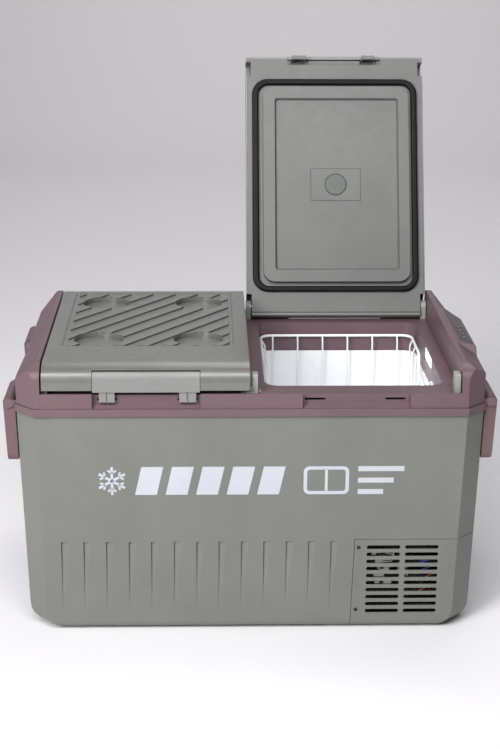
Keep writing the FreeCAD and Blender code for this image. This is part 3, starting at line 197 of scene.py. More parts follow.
def rubber(name, rgb=(34, 34, 37), rough=0.62, edge=0.0005, tone=0.12, lift=0.18, spec=0.4):
    w = Net(name)
    c = lin(rgb)
    fine = w.noise(2600.0, 3.0, 0.7)
    dust = w.noise(70.0, 6.0, 0.7)
    nrm, mask = w.soft_edge(edge)
    col = w.mix(w.span(dust, 0.45, 0.75), c, tuple(v * (1 + 3 * tone) + 0.004 for v in c))
    # painted highlight: the bevel mask lightens every edge, scaled by lift
    col = w.mix(w.math("MULTIPLY", mask, lift), col, tuple(v * 2.2 + 0.01 for v in c))
    w.l(col, w.b.inputs["Base Color"])
    w.l(w.span(dust, 0.3, 0.75, rough - 0.06, rough + 0.14), w.b.inputs["Roughness"])
    w.b.inputs["Specular IOR Level"].default_value = spec
    w.l(w.bump(fine, 0.35, 0.00008, nrm), w.b.inputs["Normal"])
    return w.m


def metal(name, rgb, rough=0.35, brushed=None, tarnish=None, spangle=0.0, edge=0.0003, metallic=1.0):
    """Metal with rolling lines or zinc spangle, and tarnish."""
    w = Net(name)
    c = lin(rgb)
    co = w.stretch(brushed) if brushed else w.co
    lines = w.noise(1400.0, 3.0, 0.7, co=co)
    blot = w.noise(60.0, 5.0, 0.65)
    col = w.mix(w.span(lines, 0.3, 0.7), tuple(v * 0.84 for v in c), tuple(min(1, v * 1.06) for v in c))
    if spangle:
        cell = w.n("ShaderNodeTexVoronoi", feature="F1")
        w.l(w.co, cell.inputs["Vector"])
        cell.inputs["Scale"].default_value = spangle
        grey = w.n("ShaderNodeRGBToBW")
        w.l(cell.outputs["Color"], grey.inputs[0])
        col = w.mix(w.span(grey.outputs[0], 0.2, 0.8, 0.0, 0.35), col, tuple(v * 0.62 for v in c))
    if tarnish:
        col = w.mix(w.span(blot, 0.48, 0.78, 0.0, 0.75), col, lin(tarnish))
    nrm, mask = w.soft_edge(edge)
    w.l(col, w.b.inputs["Base Color"])
    w.b.inputs["Metallic"].default_value = metallic
    w.l(w.math("ADD", w.span(lines, 0.3, 0.7, rough - 0.07, rough + 0.07), w.span(blot, 0.4, 0.8, -0.03, 0.10)), w.b.inputs["Roughness"])
    w.l(w.bump(lines, 0.18, 0.00005, nrm), w.b.inputs["Normal"])
    return w.m


def gloss_white(name, rgb=(238, 240, 244), rough=0.28, peel=260.0, trans=0.0, dust=0.06, spec=0.5):
    """Smooth white: polished tub plastic or dipped wire coating, with orange peel."""
    w = Net(name)
    c = lin(rgb)
    pl = w.noise(peel, 3.0, 0.5)
    fog = w.noise(14.0, 4.0, 0.6)
    scuff = w.noise(900.0, 3.0, 0.7, co=w.stretch((1.0, 1.0, 0.06)))
    nrm, mask = w.soft_edge(0.0008)
    col = w.mix(w.span(fog, 0.35, 0.7, 0.0, dust * 3), c, tuple(v * 0.86 for v in c))
    col = w.mix(w.span(scuff, 0.62, 0.80, 0.0, dust * 2), col, tuple(v * 0.75 for v in c))
    w.l(col, w.b.inputs["Base Color"])
    w.l(w.math("ADD", w.span(fog, 0.3, 0.7, rough - 0.04, rough + 0.05), w.span(scuff, 0.6, 0.8, 0.0, 0.10)), w.b.inputs["Roughness"])
    w.b.inputs["Specular IOR Level"].default_value = spec
    w.l(w.bump(pl, 0.12, 0.0003, nrm), w.b.inputs["Normal"])
    return w.m


# ------------------------------------------------------------------ materials
M = {}
M["shell"] = moulded("cabinet_plastic", (115, 117, 112), rough=0.46, grain=1400, wear_and_edge_highlight=0.10)
M["vent"] = moulded("vent_cover_plastic", (114, 116, 111), rough=0.44, grain=1400, wear_and_edge_highlight=0.14)
M["lid"] = moulded("lid_plastic", (104, 105, 101), rough=0.325, grain=1300, depth=0.00006, wear_and_edge_highlight=0.16, spec=0.95, edge=0.0009)
M["lid_in"] = moulded("lid_liner_plastic", (107, 109, 106), rough=0.42, grain=1700, depth=0.00006, wear_and_edge_highlight=0.08)
M["latch"] = moulded("latch_plastic", (130, 131, 129), rough=0.38, grain=1500, wear_and_edge_highlight=0.22)
M["frame"] = moulded("frame_plastic_maroon", (106, 84, 90), rough=0.42, grain=1300, wear_and_edge_highlight=0.24, edge=0.0009)
M["handle"] = moulded("handle_plastic_maroon", (104, 81, 85), rough=0.42, grain=1200, wear_and_edge_highlight=0.18)
M["bracket"] = moulded("bracket_plastic", (150, 154, 148), rough=0.42, grain=1800, depth=0.00005, wear_and_edge_highlight=0.12)
M["liner"] = gloss_white("liner_plastic_white", (250, 251, 254), rough=0.30, dust=0.02)
M["lens"] = gloss_white("light_lens_opal", (236, 238, 240), rough=0.22, peel=900)
M["lens"].node_tree.nodes["Principled BSDF"].inputs["Emission Color"].default_value = (0.95, 0.97, 1.0, 1)
M["lens"].node_tree.nodes["Principled BSDF"].inputs["Emission Strength"].default_value = 0.5
M["wire"] = gloss_white("basket_coating_white", (243, 245, 247), rough=0.26, peel=700, dust=0.03)
M["seal"] = rubber("seal_rubber_black", (9, 9, 15), rough=0.48, tone=0.02, lift=0.03, spec=0.22)
M["foot"] = rubber("foot_rubber", (28, 28, 29), rough=0.70)
M["grommet"] = rubber("grommet_rubber", (36, 36, 36), rough=0.66)
M["black"] = moulded("black_plastic", (38, 38, 40), rough=0.42, grain=1600, wear_and_edge_highlight=0.15)
M["fan"] = moulded("fan_plastic_black", (30, 30, 32), rough=0.36, grain=2200, depth=0.00004, wear_and_edge_highlight=0.12)
M["key"] = moulded("key_plastic_dark", (58, 57, 60), rough=0.40, grain=2400, depth=0.00004, wear_and_edge_highlight=0.16)
M["panel"] = moulded("display_window_dark", (38, 36, 40), rough=0.24, grain=700, depth=0.00002, strength=0.10, wear_and_edge_highlight=0.05, spec=0.35)
M["pcb"] = moulded("circuit_board_green", (38, 92, 58), rough=0.38, grain=900, depth=0.00008, tone=0.16, wear_and_edge_highlight=0.0)
M["zinc"] = metal("screw_zinc", (178, 178, 176), rough=0.32, tarnish=(120, 118, 112))
M["galv"] = metal("tray_zinc_spangle", (165, 168, 170), rough=0.40, spangle=220.0, tarnish=(130, 132, 132))
M["steel"] = metal("pin_steel", (172, 172, 170), rough=0.24, brushed=(0.05, 1.0, 1.0))
M["alu"] = metal("aluminium_fins", (190, 192, 194), rough=0.34, brushed=(1.0, 1.0, 0.08), tarnish=(150, 150, 148))
M["alu_die"] = metal("aluminium_case", (150, 152, 154), rough=0.42, brushed=(1.0, 0.06, 1.0), tarnish=(110, 110, 110))
M["copper"] = metal("copper_pipe", (196, 120, 84), rough=0.30, tarnish=(120, 72, 50))
M["loom"] = rubber("loom_sleeve_black", (24, 24, 26), rough=0.45)
M["plug"] = moulded("plug_nylon_white", (190, 190, 188), rough=0.38, grain=2600, depth=0.00004, wear_and_edge_highlight=0.05)
M["blue"] = moulded("wire_sleeve_blue", (30, 44, 150), rough=0.36, grain=2600, depth=0.00004, wear_and_edge_highlight=0.04)
M["orange"] = moulded("wire_sleeve_orange", (170, 92, 30), rough=0.36, grain=2600, depth=0.00004, wear_and_edge_highlight=0.04)
M["ink"] = moulded("printed_white_ink", (192, 196, 203), rough=0.42, grain=3200, depth=0.00003, strength=0.2, tone=0.03, wear_and_edge_highlight=0.0)
M["mark"] = moulded("key_mark_grey", (176, 176, 180), rough=0.45, grain=3200, depth=0.00002, strength=0.2, tone=0.04, wear_and_edge_highlight=0.0)
M["fins"] = metal("condenser_fins_black", (52, 52, 54), rough=0.42, brushed=(1.0, 1.0, 0.08), tarnish=(30, 30, 31), metallic=0.4)
M["brass"] = metal("contact_brass", (198, 168, 96), rough=0.28, tarnish=(140, 112, 60))
M["enamel"] = moulded("compressor_enamel", (28, 28, 30), rough=0.30, grain=420, depth=0.00012, strength=0.18, wear_and_edge_highlight=0.20, coat=0.3)
M["foam"] = moulded("insulation_foam", (214, 196, 128), rough=0.85, grain=420, depth=0.0008, strength=0.7, tone=0.10, wear_and_edge_highlight=0.0, spec=0.2)

LOOK = {
    "body_shell": "shell", "vent_cover": "vent", "vent_cover_screws": "enamel", "rubber_feet": "foot", "top_frame": "frame",
    "display_window": "panel", "power_button": "key", "zone_button": "key", "down_button": "key", "up_button": "key",
    "control_board": "pcb", "liner_left": "liner", "liner_right": "liner", "foam_insulation": "foam",
    "evaporator_left": "alu", "evaporator_right": "alu", "bay_partition": "galv", "light_lens_left": "lens", "light_lens_right": "lens",
    "base_tray": "galv", "compressor_grommets": "grommet", "compressor": "enamel", "condenser": "fins", "fan_frame": "fan",
    "fan_rotor": "fan", "compressor_controller": "alu_die", "power_supply": "galv", "filter_drier": "copper", "power_inlets": "black",
    "inlet_contacts": "brass", "side_wall_left": "frame", "side_wall_right": "frame", "opening_collar_left": "frame",
    "opening_collar_right": "frame", "refrigerant_pipes": "copper", "wiring_loom": "loom", "handle_left": "handle", "handle_right": "handle", "handle_pins_left": "steel", "handle_pins_right": "steel",
}
for s in ("left", "right"):
    LOOK.update({s + "_lid_cover": "lid", s + "_lid_liner": "lid_in", s + "_lid_foam": "foam", s + "_lid_seal": "seal", s + "_lid_plate": "lid_in",
                 s + "_lid_pins": "steel", s + "_latch": "latch", s + "_latch_pin": "steel", "basket_" + s: "wire"})
for n in NODES:
    if n.startswith("hinge_bracket"):
        LOOK[n] = "bracket"


def plate_look(side, along):
    """Lid plate: liner plastic with a darker blank disc, a darker ring round the disc, and a darker band along the
    plate's edges at the joint.
    """
    lo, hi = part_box(side + "_lid_plate")
    c = [(a + b) / 2 for a, b in zip(lo, hi)]
    m = moulded(side + "_lid_plate_plastic", (107, 109, 106), rough=0.42, grain=1700, depth=0.00006, wear_and_edge_highlight=0.05)
    t = m.node_tree
    base = t.nodes["Principled BSDF"].inputs["Base Color"]
    colour = base.links[0].from_socket

    def vec(op, a, b, out):
        nd = t.nodes.new("ShaderNodeVectorMath")
        nd.operation = op
        t.links.new(a, nd.inputs[0])
        nd.inputs[1].default_value = b
        return nd.outputs[out]

    def step(v, a, b):
        nd = t.nodes.new("ShaderNodeMapRange")
        t.links.new(v, nd.inputs["Value"])
        for k, x in (("From Min", a), ("From Max", b), ("To Min", 0.0), ("To Max", 1.0)):
            nd.inputs[k].default_value = x
        return nd.outputs[0]

    def tone(mask, col, k):
        nd = t.nodes.new("ShaderNodeMix")
        nd.data_type, nd.blend_type = "RGBA", "MULTIPLY"
        t.links.new(mask, nd.inputs[0])
        t.links.new(col, nd.inputs[6])
        nd.inputs[7].default_value = (*k, 1)
        return nd.outputs[2]

    def both(a, b, op):
        nd = t.nodes.new("ShaderNodeMath")
        nd.operation = op
        t.links.new(a, nd.inputs[0])
        if b is not None:
            t.links.new(b, nd.inputs[1])
        return nd.outputs[0]

    co = t.nodes.new("ShaderNodeTexCoord").outputs["Object"]
    off = vec("SUBTRACT", co, c, "Vector")
    r = vec("LENGTH", off, (0, 0, 0), "Value")
    colour = tone(step(r, 0.0186, 0.0182), colour, (0.73, 0.77, 0.74))
    colour = tone(both(step(r, 0.0176, 0.0182), step(r, 0.0204, 0.0198), "MULTIPLY"), colour, (0.42, 0.45, 0.43))
    ex = step(both(vec("DOT_PRODUCT", off, (1, 0, 0), "Value"), None, "ABSOLUTE"), 0.0434, 0.0442)
    ey = step(both(vec("DOT_PRODUCT", off, along, "Value"), None, "ABSOLUTE"), 0.0278, 0.0286)
    colour = tone(both(ex, ey, "MAXIMUM"), colour, (0.55, 0.56, 0.55))
    t.links.new(colour, base)
    return m


OPENED = math.radians(111.8)
M["plate_left"] = plate_look("left", (0, 1, 0))
M["plate_right"] = plate_look("right", (0, math.cos(OPENED), -math.sin(OPENED)))
LOOK["left_lid_plate"] = "plate_left"
LOOK["right_lid_plate"] = "plate_right"


def finish_of(o, m):
    o.data.materials.clear()
    o.data.materials.append(m)


for n, o in NODES.items():
    finish_of(o, M[LOOK.get(n, "black")])
    for p in o.data.polygons:
        p.use_smooth = True
    o.data.set_sharp_from_angle(angle=math.radians(28))


# ------------------------------------------------------------------ extra pieces
def mesh_object(name, verts, faces, m, smooth=True, sharp=40):
    me = bpy.data.meshes.new(name)
    me.from_pydata([tuple(v) for v in verts], [], faces)
    me.validate()
    o = bpy.data.objects.new(name, me)
    SC.collection.objects.link(o)
    finish_of(o, m)
    for p in me.polygons:
        p.use_smooth = smooth
    if smooth:
        me.set_sharp_from_angle(angle=math.radians(sharp))
    return o


class Wires:
    """Round rods joined into one mesh, each swept along a path with rounded inner corners."""

    def __init__(self, sides=8):
        self.v, self.f, self.sides = [], [], sides

    @staticmethod
    def rounded(pts, r, steps=5, closed=False):
        P = [Vector(p) for p in pts]
        n = len(P)
        out = [] if closed else [P[0]]
        for i in range(n) if closed else range(1, n - 1):
            a, b, c = P[i - 1], P[i], P[(i + 1) % n]
            d1, d2 = (a - b), (c - b)
            l1, l2 = d1.length, d2.length
            d1.normalize()
            d2.normalize()
            half = math.acos(max(-1.0, min(1.0, d1.dot(d2)))) / 2
            if half > math.radians(89.5):
                out.append(b)
                continue
            t = min(r / math.tan(half), 0.49 * l1, 0.49 * l2)
            rr = t * math.tan(half)
            cen = b + (d1 + d2).normalized() * (rr / math.sin(half))
            p, q = b + d1 * t - cen, b + d2 * t - cen
            ang = p.angle(q)
            for k in range(steps + 1):
                u = k / steps
                out.append(cen + (p * math.sin((1 - u) * ang) + q * math.sin(u * ang)) / math.sin(ang))
        if not closed:
            out.append(P[-1])
        return out

    def add(self, pts, r, bend=0.0, closed=False):
        path = self.rounded(pts, bend, closed=closed) if bend else [Vector(p) for p in pts]
        n, k = len(path), self.sides
        base = len(self.v)
        t0 = (path[1] - path[0]).normalized()
        side = t0.orthogonal().normalized()
        for i, p in enumerate(path):
            if closed:
                t = (path[(i + 1) % n] - path[i - 1]).normalized()
            else:
                t = (path[min(i + 1, n - 1)] - path[max(i - 1, 0)]).normalized()
            side = (side - t * side.dot(t)).normalized()
            other = t.cross(side)
            for j in range(k):
                a = 2 * math.pi * j / k
                self.v.append(p + side * (r * math.cos(a)) + other * (r * math.sin(a)))
        last = n if closed else n - 1
        for i in range(last):
            twist = 0
            ni = (i + 1) % n
            if closed and ni == 0:
                # match the first ring where the frame has turned on the way round
                ref = self.v[base + i * k] - path[i]
                twist = max(range(k), key=lambda q: (self.v[base + q] - path[0]).dot(ref))
            for j in range(k):
                a, b = base + i * k + j, base + i * k + (j + 1) % k
                c, d = base + ni * k + (j + 1 + twist) % k, base + ni * k + (j + twist) % k
                self.f.append((a, b, c, d))
        if not closed:
            self.f.append(tuple(base + j for j in range(k))[::-1])
            self.f.append(tuple(base + (n - 1) * k + j for j in range(k)))

    def make(self, name, m):
        return mesh_object(name, self.v, self.f, m)


def basket(side):
    """Coated wire basket: wide top rail that dips at both ends as a hand hold, U-shaped rods both ways, middle and floor rings."""
    node = "basket_" + side
    (x0, y0, z0), (x1, y1, z1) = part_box(node)
    sx = 1 if side == "right" else -1
    R, r = 0.0024, 0.0015
    W = Wires()
    a0, a1, b0, b1 = x0 + R, x1 - R, y0 + R, y1 - R
    # the rods stand inside the rail, clear of the tapering tub
    w0, w1 = (x0 + 0.0078, x1 - 0.0050) if sx > 0 else (x0 + 0.0050, x1 - 0.0078)
    v0, v1 = y0 + 0.0050, y1 - 0.0075
    zt, zl = z1 - R - 0.0005, z1 - 0.036
    ya, yb = b0 + 0.086, b1 - 0.118
    s1 = 0.010
    W.add([(a0, b0, zt), (a1, b0, zt), (a1, ya, zt), (w1, ya + s1, zl), (w1, yb - s1, zl), (a1, yb, zt), (a1, b1, zt),
           (a0, b1, zt), (a0, yb, zt), (w0, yb - s1, zl), (w0, ya + s1, zl), (a0, ya, zt)], R, bend=0.019, closed=True)
    zb = z0 + r + 0.0002

    def ring(z, inset, rad, bend):
        W.add([(w0 + inset, v0 + inset, z), (w1 - inset, v0 + inset, z), (w1 - inset, v1 - inset, z), (w0 + inset, v1 - inset, z)], rad, bend=bend, closed=True)

    ring(zb + 0.020, 0.0040, R * 0.9, 0.016)
    levels = 1 if side == "right" else 2
    for i in range(levels):
        ring(zb + 0.020 + (zl - 0.012 - zb - 0.020) * (i + 1) / (levels + 1) + 0.012, 0.0040, r, 0.016)
    for i in range(6):
        x = sx * (0.1589 + (i - 2.5) * 0.0442)
        W.add([(x, b0, zt), (x, v0 + 0.0018, zt - 0.012), (x, v0 + 0.0018, zb), (x, v1 - 0.0018, zb), (x, v1 - 0.0018, zt - 0.012), (x, b1, zt)], r, bend=0.008)
    pitch = 0.0433
    ny = int((b1 - b0 - 0.03) / pitch) + 1
    cy = (b0 + b1) / 2
    for i in range(ny):
        y = cy + (i - (ny - 1) / 2) * pitch
        low = ya + 0.004 < y < yb - 0.004
        if low:
            W.add([(w0 + 0.0006, y, zl), (w0 + 0.0018, y, zl - 0.01), (w0 + 0.0018, y, zb + 2 * r), (w1 - 0.0018, y, zb + 2 * r), (w1 - 0.0018, y, zl - 0.01), (w1 - 0.0006, y, zl)], r, bend=0.008)
        else:
            W.add([(a0, y, zt), (w0 + 0.0018, y, zt - 0.012), (w0 + 0.0018, y, zb + 2 * r), (w1 - 0.0018, y, zb + 2 * r), (w1 - 0.0018, y, zt - 0.012), (a1, y, zt)], r, bend=0.008)
    o = W.make("wire_basket_" + side, M["wire"])
    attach(o, "cabinet")
    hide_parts(node)
    return o


for s in ("left", "right"):
    basket(s)

K_DRAFT = 0.03
FRONT = lambda z: (0.004 + K_DRAFT * (0.366 - z)) - OY      # cabinet front face at height z


def prism(name, outline, m, place, lift, deep):
    """Flat outline (u, v) raised by lift and sunk by deep along the third axis of place(u, v, w)."""
    n = len(outline)
    vs = [place(u, v, lift) for u, v in outline] + [place(u, v, -deep) for u, v in outline]
    fs = [tuple(range(n)), tuple(range(2 * n - 1, n - 1, -1))] + [((i + 1) % n, i, n + i, n + (i + 1) % n) for i in range(n)]
    return vs, fs


class Print:
    """Several flat outlines gathered into one thin printed piece."""

    def __init__(self, place, lift=0.00006, deep=0.00015):
        self.v, self.f, self.place, self.lift, self.deep = [], [], place, lift, deep

    def shape(self, outline, hole=None):
        b = len(self.v)
        if hole is None:
            v, f = prism("", outline, None, self.place, self.lift, self.deep)
        else:
            n = len(outline)
            v = [self.place(u, w, h) for h in (self.lift, -self.deep) for loop in (outline, hole) for u, w in loop]
            f = []
            for i in range(n):
                j = (i + 1) % n
                f += [(i, j, n + j, n + i), (2 * n + i, 3 * n + i, 3 * n + j, 2 * n + j), (j, i, 2 * n + i, 2 * n + j), (n + i, n + j, 3 * n + j, 3 * n + i)]
        self.v += v
        self.f += [tuple(b + i for i in q) for q in f]

    def bar(self, p, q, w):
        p, q = Vector(p), Vector(q)
        d = (q - p).normalized()
        n = Vector((-d.y, d.x)) * (w / 2)
        self.shape([tuple(p - n), tuple(q - n), tuple(q + n), tuple(p + n)])

    def make(self, name, m):
        return mesh_object(name, self.v, self.f, m, smooth=False)


def round_rect(x0, x1, z0, z1, r, k=6):
    out = []
    for cx, cz, a0 in ((x1 - r, z1 - r, 0), (x0 + r, z1 - r, 90), (x0 + r, z0 + r, 180), (x1 - r, z0 + r, 270)):
        for i in range(k + 1):
            a = math.radians(a0 + 90 * i / k)
            out.append((cx + r * math.cos(a), cz + r * math.sin(a)))
    return out


def ring_of(c, r, k=40, a0=0.0, a1=360.0):
    full = abs(a1 - a0) >= 360
    return [(c[0] + r * math.cos(math.radians(a0 + (a1 - a0) * i / (k if full else k - 1))), c[1] + r * math.sin(math.radians(a0 + (a1 - a0) * i / (k if full else k - 1)))) for i in range(k)]


# plain printed band across the front: a frost star, slanted blocks, a two-room outline and bars
P = Print(lambda u, v, w: (u, FRONT(v) - w, v))
c = Vector((-0.2165, 0.2585))
for i in range(3):
    a = math.radians(90 + 60 * i)
    d = Vector((math.cos(a), math.sin(a)))
    P.bar(c - d * 0.0235, c + d * 0.0235, 0.0042)
for i in range(6):
    a = math.radians(90 + 60 * i)
    d = Vector((math.cos(a), math.sin(a)))
    for t in (50, -50):
        e = Vector((math.cos(a + math.radians(t)), math.sin(a + math.radians(t))))
        P.bar(c + d * 0.0125, c + d * 0.0125 + e * 0.0085, 0.0034)
for i in range(5):
    x = -0.181 + i * 0.0476
    P.shape([(x, 0.235), (x + 0.034, 0.235), (x + 0.0445, 0.282), (x + 0.0105, 0.282)])
P.shape(round_rect(0.082, 0.153, 0.235, 0.282, 0.009), round_rect(0.0875, 0.1475, 0.2405, 0.2765, 0.0045))
P.bar((0.1175, 0.2395), (0.1175, 0.2775), 0.0045)
for i, wd in enumerate((0.072, 0.056, 0.040)):
    z = 0.2735 - i * 0.0193
    P.shape([(0.167, z), (0.167 + wd, z), (0.167 + wd, z + 0.0085), (0.167, z + 0.0085)])
o = P.make("front_print", M["ink"])
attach(o, "cabinet")

# key marks, flat on each key and moving with it
NX, NZ = math.sin(math.atan2(6.0, 30.4)), math.cos(math.atan2(6.0, 30.4))
for node, body, kind in (("power_button", "power_key", "ring"), ("zone_button", "zone_key", "pair"), ("down_button", "down_key", "down"), ("up_button", "up_key", "up")):
    me = NODES[node].data
    n = Vector((NX, 0, NZ))
    u = Vector((NZ, 0, -NX))
    tops = [v.co for v in me.vertices]
    h = max(p.dot(n) for p in tops)
    us, ys = [p.dot(u) for p in tops], [p.y for p in tops]
    cu, cy = (min(us) + max(us)) / 2, (min(ys) + max(ys)) / 2
    P = Print(lambda a, b, w, cu=cu, cy=cy, h=h: tuple(u * (cu + a) + Vector((0, cy + b, 0)) + n * (h + w)), 0.00004, 0.0001)
    q = 0.0026
    if kind == "ring":
        P.shape(ring_of((0, 0), q), ring_of((0, 0), q * 0.74))
        P.bar((0, 0), (0, q * 1.25), q * 0.3)
    elif kind == "pair":
        for t in (-0.62, 0.62):
            P.shape(round_rect(t * q - q * 0.48, t * q + q * 0.48, -q * 0.8, q * 0.8, q * 0.2, 3), round_rect(t * q - q * 0.24, t * q + q * 0.24, -q * 0.56, q * 0.56, q * 0.1, 3))
    else:
        k = 1 if kind == "up" else -1
        P.shape([(-q, -k * q * 0.7), (q, -k * q * 0.7), (0, k * q)][::k])
    o = P.make(node + "_mark", M["mark"])
    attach(o, body)


def mm(*p):
    return (p[0] / 1000, p[1] / 1000 - OY, p[2] / 1000)


def boxes(name, items, m):
    """Small blocks with broken edges."""
    bm = bmesh.new()
    for x0, x1, y0, y1, z0, z1 in items:
        g = bmesh.ops.create_cube(bm, size=1.0)["verts"]
        for v in g:
            v.co = Vector(mm(x0 if v.co.x < 0 else x1, y0 if v.co.y < 0 else y1, z0 if v.co.z < 0 else z1))
    bmesh.ops.bevel(bm, geom=bm.edges[:], offset=0.0004, segments=2, affect="EDGES")
    me = bpy.data.meshes.new(name)
    bm.to_mesh(me)
    bm.free()
    o = bpy.data.objects.new(name, me)
    SC.collection.objects.link(o)
    finish_of(o, m)
    return o


# what shows through the vent: white plugs with leads, one blue and one orange sleeve
o = boxes("vent_bay_plugs", [(193, 201, 19.5, 25, 126.5, 131), (199, 211, 19.5, 26, 113, 118.5), (203, 213, 19.5, 26, 101.5, 106), (207, 222, 19.5, 26, 100, 107), (197, 214, 19.5, 26, 89, 94),
                             (213, 226, 19.5, 26, 76.5, 82), (246, 251, 19.5, 26, 101, 106), (247, 252, 19.5, 26, 89, 94), (199, 207, 19.5, 26, 77, 81)], M["plug"])
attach(o, "cabinet")
Wv = Wires(6)
for dz in (0, 3.0):
    Wv.add([mm(222, 23.5, 104 + dz), mm(236, 23.5, 106 + dz), mm(238, 24, 92 + dz), mm(250, 24, 80 + dz)], 0.0009, bend=0.004)
    Wv.add([mm(211, 22, 116 - dz), mm(226, 22, 118 - dz), mm(232, 24, 128 - dz), mm(192, 22, 134 - dz)], 0.0008, bend=0.004)
o = Wv.make("vent_bay_leads_white", M["plug"])
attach(o, "cabinet")
Wb = Wires(6)
Wb.add([mm(300, 22, 122), mm(286, 21.5, 117), mm(278, 22, 114), mm(262, 24, 108)], 0.0016, bend=0.006)
Wb.add([mm(300, 23, 108), mm(288, 22.5, 104.5), mm(276, 22, 100)], 0.0009, bend=0.004)
o = Wb.make("vent_bay_lead_blue", M["blue"])
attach(o, "cabinet")
Wo = Wires(6)
Wo.add([mm(286, 22, 71), mm(278, 21.5, 67), mm(270, 22, 62)], 0.0009, bend=0.004)
Wo.add([mm(296, 22, 92), mm(288, 21.5, 91), mm(280, 22, 86)], 0.0008, bend=0.004)
o = Wo.make("vent_bay_lead_orange", M["orange"])
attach(o, "cabinet")


# ------------------------------------------------------------------ stage, light, camera
def material_plain(name, rgb, rough, mottling=0.01):
    w = Net(name)
    c = lin(rgb)
    w.l(w.mix(w.span(w.noise(1.3, 3.0), 0.3, 0.7), tuple(v * (1 - mottling) for v in c), c), w.b.inputs["Base Color"])
    w.b.inputs["Roughness"].default_value = rough
    w.b.inputs["Specular IOR Level"].default_value = 0.25
    return w.m


def paper():
    """White paper floor with painted shade that greys it towards the backdrop."""
    w = Net("paper_white")
    sep = w.n("ShaderNodeSeparateXYZ")
    w.l(w.co, sep.inputs[0])
    # painted shade: the paper greys with depth and height, as if less light reached the back
    deep = w.math("ADD", w.span(sep.outputs["Y"], 0.35, 4.0, 0.0, 0.75), w.span(sep.outputs["Z"], 0.1, 2.5, 0.0, 0.25))
    col = w.mix(deep, lin((246, 244, 247)), lin((216, 212, 215)))
    w.l(w.mix(w.span(w.noise(1.3, 3.0), 0.3, 0.7, 0.0, 0.03), col, lin((225, 224, 226))), w.b.inputs["Base Color"])
    w.b.inputs["Roughness"].default_value = 0.8
    w.b.inputs["Specular IOR Level"].default_value = 0.25
    return w.m


def sweep_stage():
    """Pale paper sweep: floor, a wide bend, and the backdrop."""
    prof = [(-14.0, 0.0), (3.80, 0.0)]
    r, y0 = 1.3, 3.80
    for i in range(1, 25):
        a = math.radians(90 * i / 24)
        prof.append((y0 + r * math.sin(a), r - r * math.cos(a)))
    prof.append((y0 + r, 5.5))
    me = bpy.data.meshes.new("paper_sweep")
    vs, fs = [], []
    for y, z in prof:
        vs += [(-14, y, z), (14, y, z)]
    for i in range(len(prof) - 1):
        fs.append((2 * i, 2 * i + 1, 2 * i + 3, 2 * i + 2))
    me.from_pydata(vs, [], fs)
    for p in me.polygons:
        p.use_smooth = True
    o = bpy.data.objects.new("paper_sweep", me)
    SC.collection.objects.link(o)
    finish_of(o, paper())


sweep_stage()


def area(name, loc, aim, size, size_y, watts, colour=(1, 1, 1), spread=180):
    d = bpy.data.lights.new(name, "AREA")
    d.shape = "RECTANGLE"
    d.size, d.size_y = size, size_y
    d.energy = watts
    d.color = colour
    d.spread = math.radians(spread)
    o = bpy.data.objects.new(name, d)
    SC.collection.objects.link(o)
    o.visible_camera = False
    o.location = loc
    o.rotation_mode = "QUATERNION"
    o.rotation_quaternion = (Vector(aim) - Vector(loc)).to_track_quat("-Z", "Y")
    return o


area("key_front", (-1.85, -2.70, 1.85), (0, 0, 0.30), 1.2, 1.2, 82, (1.0, 0.99, 0.98))
area("top_front_box", (-0.35, -1.90, 2.35), (-0.1, -0.3, 0.4), 2.6, 0.85, 54, (1, 1, 1))
area("wall_wash", (0.45, 3.5, 2.7), (0.45, 4.4, 0.2), 3.4, 0.9, 31, (1, 1, 1))
area("top_back", (0.4, 1.1, 2.9), (0.2, 0.9, 0.0), 2.4, 1.0, 26, (1, 1, 1))
# the compartment lamp behind the right-hand lens
area("compartment_lamp", (0.2985, 0.2355 - OY, 0.3885), (0.10, 0.2355 - OY, 0.20), 0.07, 0.014, 0.10, (0.94, 0.97, 1.0))

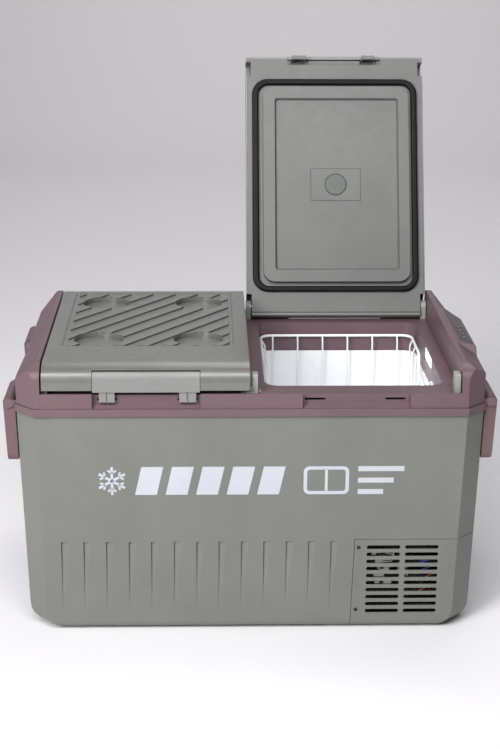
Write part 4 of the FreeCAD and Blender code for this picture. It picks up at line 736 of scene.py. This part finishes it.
w = bpy.data.worlds.new("studio")
SC.world = w
w.use_nodes = True
wt = w.node_tree
bg = wt.nodes["Background"]
bg.inputs[0].default_value = (0.93, 0.94, 1.0, 1)
tc = wt.nodes.new("ShaderNodeTexCoord")
sp = wt.nodes.new("ShaderNodeSeparateXYZ")
mr = wt.nodes.new("ShaderNodeMapRange")
wt.links.new(tc.outputs["Generated"], sp.inputs[0])
wt.links.new(sp.outputs["X"], mr.inputs["Value"])
for k, v in (("From Min", -0.5), ("From Max", 0.6), ("To Min", 0.19), ("To Max", 0.035)):
    mr.inputs[k].default_value = v
wt.links.new(mr.outputs[0], bg.inputs[1])
# beyond the paper's edges the room is an even pale grey
pale = wt.nodes.new("ShaderNodeBackground")
pale.inputs[0].default_value = (0.36, 0.35, 0.36, 1)
lp = wt.nodes.new("ShaderNodeLightPath")
mx = wt.nodes.new("ShaderNodeMixShader")
wt.links.new(lp.outputs["Is Camera Ray"], mx.inputs[0])
wt.links.new(bg.outputs[0], mx.inputs[1])
wt.links.new(pale.outputs[0], mx.inputs[2])
wt.links.new(mx.outputs[0], wt.nodes["World Output"].inputs["Surface"])

SC.view_settings.view_transform = "Standard"
SC.view_settings.look = "None"
SC.view_settings.exposure = 0.0
SC.view_settings.gamma = 1.0

cd = bpy.data.cameras.new("camera")
cam = bpy.data.objects.new("camera", cd)
SC.collection.objects.link(cam)
SC.camera = cam
F_PX, PITCH, YAW, ROLL = 1659.127, 0.303061898, 0.0273665184, 0.00575036981
cd.sensor_fit = "AUTO"
cd.sensor_width = 36.0
cd.lens = F_PX * 36.0 / 749.0
cd.clip_start, cd.clip_end = 0.05, 60
cam.location = (-0.0688255464, -2.41063222 - OY, 1.18808779)
fwd = Vector((math.sin(YAW) * math.cos(PITCH), math.cos(YAW) * math.cos(PITCH), -math.sin(PITCH)))
rt = Vector((math.cos(YAW), -math.sin(YAW), 0))
up = rt.cross(fwd)
r2 = rt * math.cos(ROLL) + up * math.sin(ROLL)
u2 = -rt * math.sin(ROLL) + up * math.cos(ROLL)
cam.rotation_mode = "QUATERNION"
cam.rotation_quaternion = Matrix((r2, u2, -fwd)).transposed().to_quaternion()
